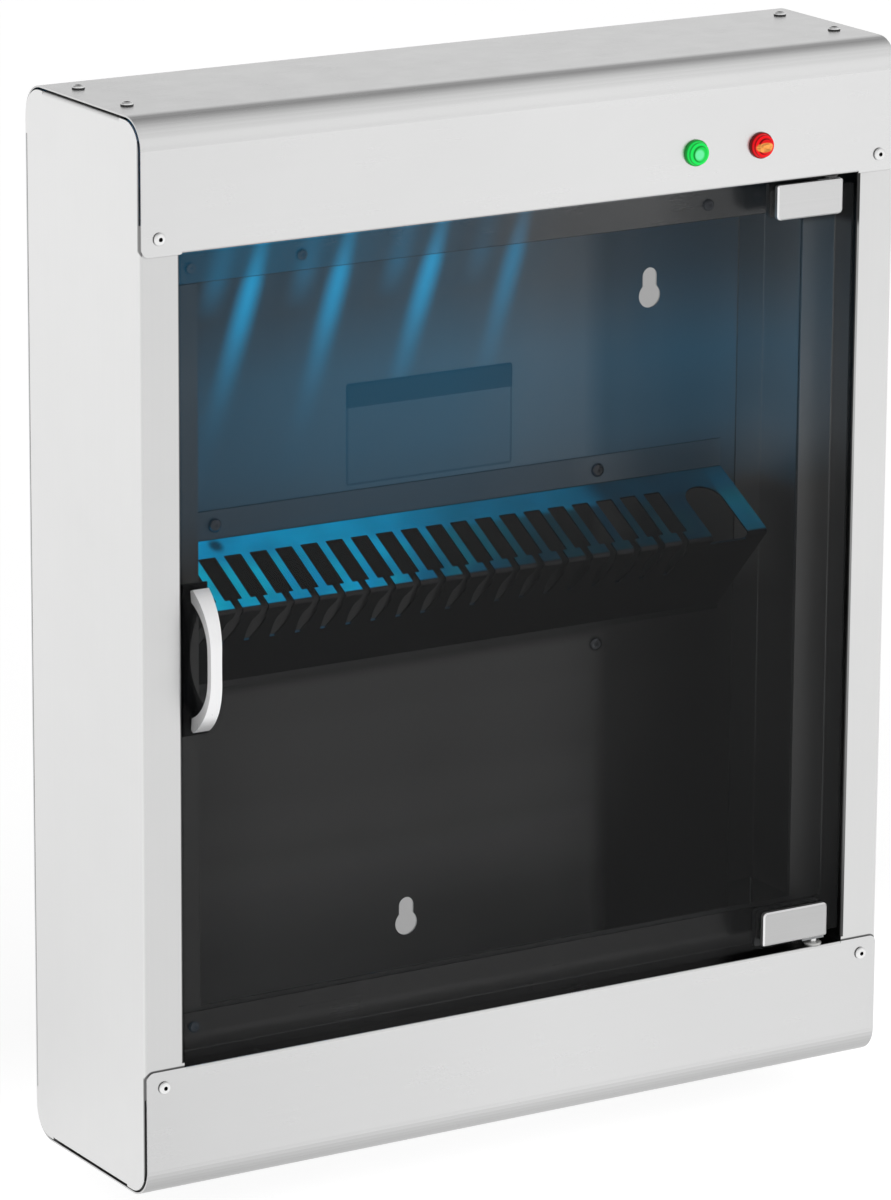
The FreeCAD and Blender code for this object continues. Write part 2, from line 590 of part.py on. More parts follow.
def inner_plate(upper):
    z0, z1 = (UP_Z0, GLASS_Z1 - 0.1) if upper else (GLASS_Z0 + 0.1, LO_Z1)
    r = (3, 3, 0.8, 0.8) if upper else (0.8, 0.8, 3, 3)
    p = plate_y(HINGE_X0, z0, HINGE_X1, z1, IN_Y0, IN_Y1, r)
    wz0, wz1 = (GLASS_Z1 - 4.0, z1) if upper else (z0, GLASS_Z0 + 4.0)
    p = p.fuse(box(461.0, OUT_Y1 + 0.1, wz0, HINGE_X1, IN_Y0 + 0.5, wz1))
    zc = UP_Z0 + 8.5 if upper else LO_Z1 - 8.5
    for x in HINGE_SCREWS:
        p = p.cut(cyl(x, IN_Y0 - 1, zc, 2.0, 8, (0, 1, 0)))
    return p.cut(cyl(PIVOT_X, PIVOT_Y, wz0 - 1, PIN_R, 8))


put("hinge_inner_plates", inner_plate(True), inner_plate(False))
put("hinge_pins",
    cyl(PIVOT_X, PIVOT_Y, GLASS_Z1 - 4.0, PIN_R, OPEN_Z1 + 4.6 - (GLASS_Z1 - 4.0)),
    cyl(PIVOT_X, PIVOT_Y, OPEN_Z0 - 4.6, PIN_R, GLASS_Z0 + 4.0 - (OPEN_Z0 - 4.6)))
pads = []
for z0, z1, zc in ((UP_Z0 + 0.6, GLASS_Z1 - NOTCH, UP_Z0 + 8.5),
                   (GLASS_Z0 + NOTCH, LO_Z1 - 0.6, LO_Z1 - 8.5)):
    for y0 in (OUT_Y1, gy1):
        p = plate_y(HINGE_X0 + 0.6, z0, HINGE_X1 - 0.6, z1, y0, y0 + PAD, 2)
        for x in HINGE_SCREWS:
            p = p.cut(cyl(x, -5, zc, 2.2, 30, (0, 1, 0)))
        pads.append(p)
put("hinge_pads", *pads)
put("hinge_screws", *[csk_screw((x, IN_Y1, z), (0, 1, 0), IN_Y1 + 0.3)
                      for x in HINGE_SCREWS for z in (UP_Z0 + 8.5, LO_Z1 - 8.5)])

# -------------------------------------------------------------------- handle
zm = (HANDLE_Z0 + HANDLE_Z1) / 2
gy = GLASS_Y0


def P(y, z):
    return V(0, y, z)


def bow(y_end, y_mid, half):
    """Middle point of the arc that runs from the straight middle, tangent to
    it, down to (y_end, half)."""
    dy, dz = y_end - y_mid, half - HANDLE_FLAT
    r = (dy * dy + dz * dz) / (2 * dy)
    return y_mid + r - math.sqrt(r * r - dz * dz / 4), HANDLE_FLAT + dz / 2


ho = (HANDLE_Z1 - HANDLE_Z0) / 2
hi = ho - 8.0
oy, oz = bow(0.4, -HANDLE_OUT, ho)
iy, iz = bow(gy, HANDLE_T - HANDLE_OUT, hi)
prof = Part.Wire([
    Part.Arc(P(0.4, zm - ho), P(oy, zm - oz), P(-HANDLE_OUT, zm - HANDLE_FLAT)).toShape(),
    Part.makeLine(P(-HANDLE_OUT, zm - HANDLE_FLAT), P(-HANDLE_OUT, zm + HANDLE_FLAT)),
    Part.Arc(P(-HANDLE_OUT, zm + HANDLE_FLAT), P(oy, zm + oz), P(0.4, zm + ho)).toShape(),
    Part.makeLine(P(0.4, zm + ho), P(gy, zm + ho - 1.2)),
    Part.makeLine(P(gy, zm + ho - 1.2), P(gy, zm + hi)),
    Part.Arc(P(gy, zm + hi), P(iy, zm + iz), P(HANDLE_T - HANDLE_OUT, zm + HANDLE_FLAT)).toShape(),
    Part.makeLine(P(HANDLE_T - HANDLE_OUT, zm + HANDLE_FLAT), P(HANDLE_T - HANDLE_OUT, zm - HANDLE_FLAT)),
    Part.Arc(P(HANDLE_T - HANDLE_OUT, zm - HANDLE_FLAT), P(iy, zm - iz), P(gy, zm - hi)).toShape(),
    Part.makeLine(P(gy, zm - hi), P(gy, zm - ho + 1.2)),
    Part.makeLine(P(gy, zm - ho + 1.2), P(0.4, zm - ho)),
])
handle = Part.Face(prof).extrude(V(30, 0, 0))
handle.translate(V(HANDLE_X - 15, 0, 0))
he, hm = HANDLE_W_END / 2, HANDLE_W_MID / 2


def Q(x, z):
    return V(x, -40, z)


plan = Part.Wire([
    Part.Arc(Q(HANDLE_X - he, HANDLE_Z0 - 1), Q(HANDLE_X - hm, zm), Q(HANDLE_X - he, HANDLE_Z1 + 1)).toShape(),
    Part.makeLine(Q(HANDLE_X - he, HANDLE_Z1 + 1), Q(HANDLE_X + he, HANDLE_Z1 + 1)),
    Part.Arc(Q(HANDLE_X + he, HANDLE_Z1 + 1), Q(HANDLE_X + hm, zm), Q(HANDLE_X + he, HANDLE_Z0 - 1)).toShape(),
    Part.makeLine(Q(HANDLE_X + he, HANDLE_Z0 - 1), Q(HANDLE_X - he, HANDLE_Z0 - 1)),
])
handle = handle.common(Part.Face(plan).extrude(V(0, 60, 0)))
for x, z in HS:
    handle = handle.cut(cyl(x, gy + 1, z, 1.75, 4.0, (0, -1, 0)))
put("handle", handle)
SP_Y = gy1 + 1.2                       # rear face of the strike plate
put("handle_screws", *[pan_screw((x, SP_Y + 0.8, z), (0, 1, 0), 9.5, 3.4, 2.0, 1.7) for x, z in HS])


def washer(x, z):
    return cyl(x, SP_Y, z, 4.2, 0.8, (0, 1, 0)).cut(cyl(x, SP_Y - 1, z, 1.75, 3, (0, 1, 0)))


put("handle_washers", *[washer(x, z) for x, z in HS])

# --------------------------------------------------------------------- catch
# strike plate behind the glass: wide at the handle's feet, narrow between them
sp0, sp1, sp2 = (46.5, 289.5), (35.0, 323.5), (46.5, 357.5)
sw = Part.Wire([
    Part.makeLine(V(29.6, gy1, 276), V(46.5, gy1, 276)),
    Part.makeLine(V(46.5, gy1, 276), V(sp0[0], gy1, sp0[1])),
    Part.Arc(V(sp0[0], gy1, sp0[1]), V(sp1[0], gy1, sp1[1]), V(sp2[0], gy1, sp2[1])).toShape(),
    Part.makeLine(V(sp2[0], gy1, sp2[1]), V(46.5, gy1, 366.5)),
    Part.makeLine(V(46.5, gy1, 366.5), V(29.6, gy1, 366.5)),
    Part.makeLine(V(29.6, gy1, 366.5), V(29.6, gy1, 276)),
])
strike = Part.Face(sw).extrude(V(0, 1.2, 0))
for x, z in HS:
    strike = strike.cut(cyl(x, gy1 - 1, z, 1.9, 4, (0, 1, 0)))
put("strike_plate", strike)
mc = box(OPEN_X0 + 1.0, gy1 + 2.2, CATCH_Z0, 36.0, RECESS, CATCH_Z1)
mc = mc.makeFillet(1.0, [e for e in mc.Edges if abs(e.Length - (CATCH_Z1 - CATCH_Z0)) > 1 and
                         all(v.X > 35 for v in e.Vertexes)])
mc = mc.cut(box(OPEN_X0 + 3, gy1 + 1, CATCH_Z0 + 8, 34, gy1 + 2.9, CATCH_Z1 - 8))
put("magnet_catch", mc)

# --------------------------------------------------- door switch and plunger
by0 = RECESS
sb = revolve_profile([(PLUNGER_R + 0.06, -2.0), (6.2, -2.0), (6.2, 0), (4.5, 0), (4.5, 8),
                      (PLUNGER_R + 0.06, 8)], [0, 0.6, 0, 0, 0, 0],
                     (SWITCH_X, by0, SWITCH_Z), (0, 1, 0))
blk = box(SWITCH_X - 8, by0 + 5.0, SWITCH_Z - 8.4, SWITCH_X + 8, by0 + 28, SWITCH_Z + 8.4)
blk = blk.makeFillet(1.0, [e for e in blk.Edges if abs(e.Length - 23) < 1e-6])
blk = blk.cut(cyl(SWITCH_X, by0 + 3, SWITCH_Z, PLUNGER_R + 0.06, 20, (0, 1, 0)))
tabs = [box(SWITCH_X + dx - 0.4, by0 + 27.5, SWITCH_Z - 3, SWITCH_X + dx + 0.4, by0 + 35,
            SWITCH_Z + 3) for dx in (-5, 0, 5)]
put("door_switch_body", sb.fuse([blk] + tabs))
put("switch_plunger", revolve_profile([(0, 0), (PLUNGER_R, 0), (PLUNGER_R, 29), (0, 29)],
                                      [0, 1.6, 0.3, 0], (SWITCH_X, IN_Y1 + 0.3, SWITCH_Z),
                                      (0, 1, 0)))

# ------------------------------------------------------------- cable entry
gl = revolve_profile([(4.0, -20), (8.0, -20), (10.4, -16.5), (10.4, -6), (8.0, -6), (8.0, 9),
                      (4.0, 9)], [0.4, 2, 1.5, 0.5, 0, 0.4, 0.4],
                     (GLAND_X, GLAND_Y, 0), (0, 0, 1))
gl = gl.fuse(hexnut(GLAND_X, GLAND_Y, -6, 22, 7.5, 6, (0, 0, 1)))
put("cable_gland", gl)
put("gland_nut", hexnut(GLAND_X, GLAND_Y, T_COV, 22, 8.02, 5, (0, 0, 1)))

# ------------------------------------------------------------- rocker switch
rx, ry = ROCKER_X, ROCKER_Y
hs = plate_z(rx - 11, ry - 7.8, rx + 11, ry + 7.8, -1.8, 0, 1.5)
hs = hs.fuse(box(rx - 9.5, ry - 6.4, -0.5, rx + 9.5, ry + 6.4, 14))
hs = hs.cut(box(rx - 8.3, ry - 5.0, -3, rx + 8.3, ry + 5.0, 10.5))
hs = hs.fuse([box(rx + dx - 0.4, ry - 2.4, 13.5, rx + dx + 0.4, ry + 2.4, 21) for dx in (-5.5, 5.5)])
hs = hs.fuse([cyl(rx, ry - 5.2, 3.0, 1.2, 1.2, (0, 1, 0)), cyl(rx, ry + 4.0, 3.0, 1.2, 1.2, (0, 1, 0))])
put("rocker_housing", hs)
rk = closed_face([(-7.3, 0.5), (-7.3, -4.2), (0, -2.9), (7.3, -4.2), (7.3, 0.5), (2.6, 4.2),
                  (-2.6, 4.2)], [0.6, 0.6, 6, 0.6, 0.6, 1, 1],
                 lambda x, z: V(rx + x, ry - 4.7, 3.0 + z)).extrude(V(0, 9.4, 0))
rk = rk.cut(cyl(rx, ry - 5, 3.0, 1.26, 1.9 - 0.1, (0, 1, 0)))
rk = rk.cut(cyl(rx, ry + 3.2, 3.0, 1.26, 3, (0, 1, 0)))
rk.rotate(V(rx, ry, 3.0), V(0, 1, 0), -8.0)
put("rocker", rk)

# -------------------------------------------------------------------- export
for name, solids in parts.items():
    out = []
    for s in solids:
        sols = s.Solids
        if not s.isValid():
            print("INVALID", name)
        if len(sols) != 1:
            print("NOTE", name, "has", len(sols), "solids in one shape")
        for q in sols:
            c = q.copy()
            c.translate(V(-W / 2, -D, -H / 2))
            out.append(c)
    shape = out[0] if len(out) == 1 else Part.makeCompound(out)
    shape.exportStep("parts/%s.step" % name)
    bb = shape.BoundBox
    print("%-20s %2d  %8.1f mm3  [%.1f %.1f %.1f | %.1f %.1f %.1f]" % (
        name, len(out), sum(q.Volume for q in out), bb.XMin, bb.YMin, bb.ZMin,
        bb.XMax, bb.YMax, bb.ZMax))
print(len(parts), "nodes")
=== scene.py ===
import math

import bmesh
import bpy
from mathutils import Matrix, Vector

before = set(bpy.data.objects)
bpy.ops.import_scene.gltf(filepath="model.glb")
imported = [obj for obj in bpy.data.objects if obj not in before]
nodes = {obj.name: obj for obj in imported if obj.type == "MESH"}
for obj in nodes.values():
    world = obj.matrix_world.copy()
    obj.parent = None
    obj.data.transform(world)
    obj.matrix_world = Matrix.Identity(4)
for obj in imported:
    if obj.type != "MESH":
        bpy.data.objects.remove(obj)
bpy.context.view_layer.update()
scene = bpy.context.scene
scene.view_settings.view_transform = "Standard"
scene.view_settings.look = "None"
scene.view_settings.exposure = 0.0
scene.view_settings.gamma = 1.0

# ------------------------------------------------------------- dimensions (m)
W, H, D = 0.515, 0.640, 0.138


def at(x, y, z):
    """A point given from the lower left front corner of the casing, in mm."""
    return Vector(((x - 257.5) / 1000, (y - 138.0) / 1000, (z - 320.0) / 1000))


# --------------------------------------------------------------------- camera
def camera():
    az, el, roll = (math.radians(a) for a in (31.35107, 15.29005, 0.33674))
    d = Vector((math.sin(az) * math.cos(el), math.cos(az) * math.cos(el), -math.sin(el)))
    r = Vector((math.cos(az), -math.sin(az), 0.0))
    u = r.cross(d)
    c, s = math.cos(roll), math.sin(roll)
    r2, u2 = c * r + s * u, -s * r + c * u
    cam = bpy.data.cameras.new("camera")
    cam.sensor_width = 36.0
    cam.lens = 6454.846 * 36.0 / 1200.0
    cam.clip_start, cam.clip_end = 0.05, 60.0
    o = bpy.data.objects.new("camera", cam)
    m = Matrix((r2, u2, -d)).transposed().to_4x4()
    m.translation = Vector((-1.949457, -3.245435, 1.010935))
    o.matrix_world = m
    scene.collection.objects.link(o)
    scene.camera = o


camera()


# ------------------------------------------------------------- node utilities
class Nodes:
    def __init__(self, name):
        self.mat = bpy.data.materials.new(name)
        self.mat.use_nodes = True
        self.t = self.mat.node_tree
        self.t.nodes.clear()
        self.out = self.t.nodes.new("ShaderNodeOutputMaterial")
        self.bsdf = self.t.nodes.new("ShaderNodeBsdfPrincipled")
        self.t.links.new(self.bsdf.outputs[0], self.out.inputs[0])
        self._co = None

    def new(self, kind, **kw):
        n = self.t.nodes.new(kind)
        for k, v in kw.items():
            setattr(n, k, v)
        return n

    def link(self, a, b):
        self.t.links.new(a, b)

    def plug(self, val, sock):
        if isinstance(val, bpy.types.NodeSocket):
            self.link(val, sock)
        else:
            sock.default_value = val

    def co(self):
        if self._co is None:
            self._co = self.new("ShaderNodeTexCoord").outputs["Object"]
        return self._co

    def xyz(self, v=None):
        n = self.new("ShaderNodeSeparateXYZ")
        self.link(v or self.co(), n.inputs[0])
        return n.outputs[0], n.outputs[1], n.outputs[2]

    def math(self, op, a, b=None, c=None, clamp=False):
        n = self.new("ShaderNodeMath", operation=op, use_clamp=clamp)
        for i, v in enumerate((a, b, c)):
            if v is not None:
                self.plug(v, n.inputs[i])
        return n.outputs[0]

    def mapping(self, scale, v=None, loc=(0, 0, 0), rot=(0, 0, 0)):
        n = self.new("ShaderNodeMapping")
        self.link(v or self.co(), n.inputs["Vector"])
        n.inputs["Scale"].default_value = scale
        n.inputs["Location"].default_value = loc
        n.inputs["Rotation"].default_value = rot
        return n.outputs[0]

    def noise(self, vec, scale, detail=3.0, rough=0.5):
        n = self.new("ShaderNodeTexNoise")
        self.link(vec, n.inputs["Vector"])
        n.inputs["Scale"].default_value = scale
        n.inputs["Detail"].default_value = detail
        n.inputs["Roughness"].default_value = rough
        return n.outputs["Fac"]

    def ramp(self, fac, stops):
        n = self.new("ShaderNodeValToRGB")
        self.link(fac, n.inputs[0])
        e = n.color_ramp.elements
        while len(e) < len(stops):
            e.new(0.5)
        for el, (p, c) in zip(e, stops):
            el.position = p
            el.color = (*c, 1.0) if len(c) == 3 else c
        return n.outputs["Color"]

    def maprange(self, v, a, b, c, d, smooth=False):
        n = self.new("ShaderNodeMapRange")
        if smooth:
            n.interpolation_type = "SMOOTHSTEP"
        self.plug(v, n.inputs["Value"])
        for i, k in enumerate((a, b, c, d)):
            n.inputs[i + 1].default_value = k
        return n.outputs["Result"]

    def mix(self, fac, a, b):
        n = self.new("ShaderNodeMix", data_type="RGBA")
        self.plug(fac, n.inputs["Factor"])
        for v, s in ((a, n.inputs[6]), (b, n.inputs[7])):
            if isinstance(v, bpy.types.NodeSocket):
                self.link(v, s)
            else:
                s.default_value = (*v, 1.0)
        return n.outputs[2]

    def scale(self, col, k):
        v = self.new("ShaderNodeVectorMath", operation="SCALE")
        self.link(col, v.inputs[0])
        self.plug(k, v.inputs["Scale"])
        return v.outputs[0]

    def normal(self):
        """Unit normal of the surface in the frame of the row."""
        g = self.new("ShaderNodeNewGeometry")
        return self.xyz(g.outputs["True Normal"])

    def band(self, v, a, b, soft):
        """1 between a and b, 0 outside, with soft ends."""
        return self.math("MULTIPLY", self.maprange(v, a - soft, a + soft, 0.0, 1.0, True),
                         self.maprange(v, b - soft, b + soft, 1.0, 0.0, True))

    def curve(self, v, stops):
        """Piecewise linear function of v through (input, output) stops."""
        lo, hi = stops[0][0], stops[-1][0]
        f = self.maprange(v, lo, hi, 0.0, 1.0)
        return self.ramp(f, [((p - lo) / (hi - lo), (c, c, c)) for p, c in stops])

    def bump(self, height, strength, distance):
        n = self.new("ShaderNodeBump")
        self.link(height, n.inputs["Height"])
        n.inputs["Strength"].default_value = strength
        n.inputs["Distance"].default_value = distance
        self.link(n.outputs[0], self.bsdf.inputs["Normal"])

    def set(self, **kw):
        names = {"color": "Base Color", "metal": "Metallic", "rough": "Roughness",
                 "alpha": "Alpha", "ior": "IOR", "emit": "Emission Color",
                 "power": "Emission Strength", "coat": "Coat Weight",
                 "coat_rough": "Coat Roughness", "spec": "Specular IOR Level",
                 "trans": "Transmission Weight", "aniso": "Anisotropic"}
        for k, v in kw.items():
            s = self.bsdf.inputs[names[k]]
            if isinstance(v, bpy.types.NodeSocket):
                self.link(v, s)
            elif isinstance(v, tuple) and len(v) == 3:
                s.default_value = (*v, 1.0)
            else:
                s.default_value = v
        return self


def steel(name, color, rough, grain="z", contrast=0.03, streak=1800.0, bump=0.04,
          blotch=0.015, metal=1.0, shade=None):
    """Satin ground stainless: fine grain lines along one axis, slow tone drift,
    faint scuffs in the roughness. shade(n, colour) may paint light and shade into the colour."""
    n = Nodes(name)
    along, across = 7.0, streak
    sc = {"x": (along, across, across), "y": (across, along, across),
          "z": (across, across, along)}[grain]
    g1 = n.noise(n.mapping(sc), 1.0, 3.0, 0.6)
    g2 = n.noise(n.mapping(tuple(v * 0.3 for v in sc)), 1.0, 2.0, 0.5)
    drift = n.noise(n.co(), 5.0, 2.0, 0.5)
    fine = n.math("ADD", n.math("MULTIPLY", g1, 0.6), n.math("MULTIPLY", g2, 0.4))
    lo = tuple(max(0, c * (1 - contrast)) for c in color)
    hi = tuple(min(1, c * (1 + contrast)) for c in color)
    col = n.ramp(fine, [(0.3, lo), (0.7, hi)])
    tone = n.maprange(drift, 0.3, 0.7, 1 - blotch, 1 + blotch)
    col = n.scale(col, tone)
    n.grain = fine
    if shade:
        col = shade(n, col)
    scuff = n.noise(n.co(), 38.0, 5.0, 0.65)
    r = n.math("ADD", n.maprange(fine, 0.3, 0.7, rough - 0.03, rough + 0.03),
               n.maprange(scuff, 0.35, 0.75, -0.02, 0.04))
    n.set(color=col, metal=metal, rough=r)
    if bump:
        n.bump(fine, bump, 0.0001)
    return n


def plastic(name, color, rough, texture=900.0, bump=0.08, spec=0.5, vary=0.08):
    n = Nodes(name)
    f = n.noise(n.co(), texture, 2.0, 0.5)
    slow = n.noise(n.co(), 30.0, 3.0, 0.5)
    lo = tuple(c * (1 - vary) for c in color)
    hi = tuple(min(1, c * (1 + vary)) for c in color)
    n.set(color=n.ramp(slow, [(0.3, lo), (0.7, hi)]), rough=n.maprange(slow, 0.3, 0.7, rough - 0.05, rough + 0.05),
          spec=spec)
    n.bump(f, bump, 0.0001)
    return n


def assign(name, m):
    o = nodes[name]
    o.data.materials.clear()
    o.data.materials.append(m.mat if isinstance(m, Nodes) else m)


# ------------------------------------------------------------------ materials
UV = (0.0, 0.52, 1.0)                  # pale blue of the tube's visible light

# shafts of light on the back: x at the top end, slope, weight
SHAFTS = ((-0.1020, 0.315, 1.22), (-0.0418, 0.300, 1.10), (0.0226, 0.330, 1.08), (0.0810, 0.300, 0.56))


def shafts(n, x, z):
    """Light that falls through the slots above, fanning out on its way down."""
    along = n.curve(z, [(0.06, 0.0), (0.09, 0.02), (0.11, 0.08), (0.12, 0.15), (0.13, 0.24), (0.14, 0.38),
                        (0.15, 0.56), (0.158, 0.76), (0.17, 0.93), (0.185, 1.0), (0.198, 0.72), (0.212, 0.36)])
    width = n.curve(z, [(0.05, 0.0130), (0.12, 0.0125), (0.18, 0.0115), (0.212, 0.0080)])
    short = n.curve(z, [(0.165, 0.0), (0.188, 0.26), (0.212, 0.20)])
    wide = n.curve(z, [(0.120, 0.0), (0.185, 0.05), (0.212, 0.07)])
    drop = n.math("SUBTRACT", z, 0.2048)
    total = None
    for x0, slope, weight in SHAFTS:
        c = n.math("MULTIPLY_ADD", drop, slope, x0)
        off = n.math("SUBTRACT", x, c)
        dist = n.math("ABSOLUTE", off)
        core = n.math("MULTIPLY", n.maprange(n.math("DIVIDE", dist, width), 0.0, 1.0, weight, 0.0, True), along)
        d2 = n.math("ABSOLUTE", n.math("ADD", off, 0.0250))
        side = n.math("MULTIPLY", n.maprange(d2, 0.0, 0.013, weight, 0.0, True), short)
        halo = n.math("MULTIPLY", n.maprange(dist, 0.0, 0.040, weight, 0.0, True), wide)
        both = n.math("ADD", n.math("ADD", core, side), halo)
        total = both if total is None else n.math("ADD", total, both)
    return total


def chamber_glow(n, x, z):
    """Painted blue light over the upper part of the chamber, wider at the left."""
    right = n.curve(z, [(0.020, 0.0), (0.028, 0.040), (0.044, 0.067), (0.063, 0.114), (0.082, 0.125),
                        (0.108, 0.146), (0.140, 0.072), (0.165, 0.036), (0.200, 0.022)])
    left = n.curve(z, [(0.020, 0.0), (0.028, 0.12), (0.050, 0.165), (0.075, 0.225), (0.100, 0.250),
                       (0.123, 0.260), (0.145, 0.180), (0.165, 0.112), (0.185, 0.100), (0.205, 0.100)])
    w = n.curve(x, [(-0.26, 0.4), (-0.134, 0.50), (-0.100, 0.68), (-0.055, 0.98), (0.028, 1.10), (0.107, 0.50),
                    (0.210, 0.0)])
    return n.math("MULTIPLY_ADD", n.math("SUBTRACT", left, right), w, right)


def wall_grey_painted_light(n, x, z):
    """Grey of the chamber walls with painted light and reflection: brighter near the tube (painted light),
    and brighter left of a soft upright edge (a painted reflection of the room in the sheet)."""
    right = n.curve(z, [(-0.27, 0.105), (-0.25, 0.115), (-0.20, 0.158), (-0.05, 0.180), (0.02, 0.48),
                        (0.05, 0.58), (0.08, 0.56), (0.108, 0.62), (0.140, 0.70), (0.165, 0.66), (0.24, 0.60)])
    high = n.curve(x, [(-0.26, 0.155), (-0.134, 0.192), (-0.055, 0.252), (0.028, 0.316), (0.107, 0.490), (0.14, 0.60)])
    fade = n.curve(z, [(0.02, 0.80), (0.055, 0.88), (0.090, 0.95), (0.120, 1.0), (0.24, 1.0)])
    low = n.curve(z, [(-0.27, 0.96), (-0.25, 0.98), (-0.21, 0.74), (-0.17, 0.325), (-0.13, 0.227), (-0.05, 0.222)])
    part = n.curve(x, [(-0.26, 0.50), (-0.150, 0.72), (-0.134, 0.80), (-0.100, 0.94), (-0.076, 0.97), (0.030, 1.0), (0.107, 1.14)])
    upper = n.maprange(z, -0.03, 0.05, 0.0, 1.0, True)
    high, low = n.math("MULTIPLY", high, fade), n.math("MULTIPLY", low, part)
    left = n.math("MULTIPLY_ADD", n.math("SUBTRACT", high, low), upper, low)
    # the wall behind the rack's apron gets less light
    behind = n.math("MULTIPLY", n.band(z, -0.064, 0.024, 0.005), n.band(x, -0.24, 0.235, 0.004))
    left = n.math("MULTIPLY", left, n.math("MULTIPLY_ADD", behind, -0.60, 1.0))
    line = n.math("MULTIPLY_ADD", n.math("SUBTRACT", 0.185, z), 0.01404, 0.1339)
    off = n.math("SUBTRACT", x, line)
    lit = n.maprange(off, -0.009, 0.009, 1.0, 0.0, True)
    # painted shade: thin dark band along that edge, deeper in the upper part
    dip_hi = n.curve(off, [(-0.010, 1.0), (0.0, 0.70), (0.007, 0.58), (0.014, 0.66), (0.021, 0.76), (0.028, 0.83),
                           (0.035, 0.91), (0.043, 1.0)])
    dip_lo = n.curve(off, [(-0.002, 1.0), (0.007, 0.80), (0.014, 0.86), (0.028, 0.95), (0.036, 1.0)])
    dip = n.math("MULTIPLY_ADD", n.math("SUBTRACT", dip_hi, dip_lo), upper, dip_lo)
    return n.math("MULTIPLY", n.math("MULTIPLY_ADD", n.math("SUBTRACT", left, right), lit, right), dip)


# painted light on the right lip by height, brighter higher up
LIP_RIGHT_PAINTED_LIGHT = [(-0.22, 0.10), (-0.17, 0.22), (-0.12, 0.27), (-0.06, 0.30), (0.02, 0.34), (0.05, 0.40),
             (0.08, 0.56), (0.12, 0.56), (0.16, 0.46), (0.20, 0.40)]


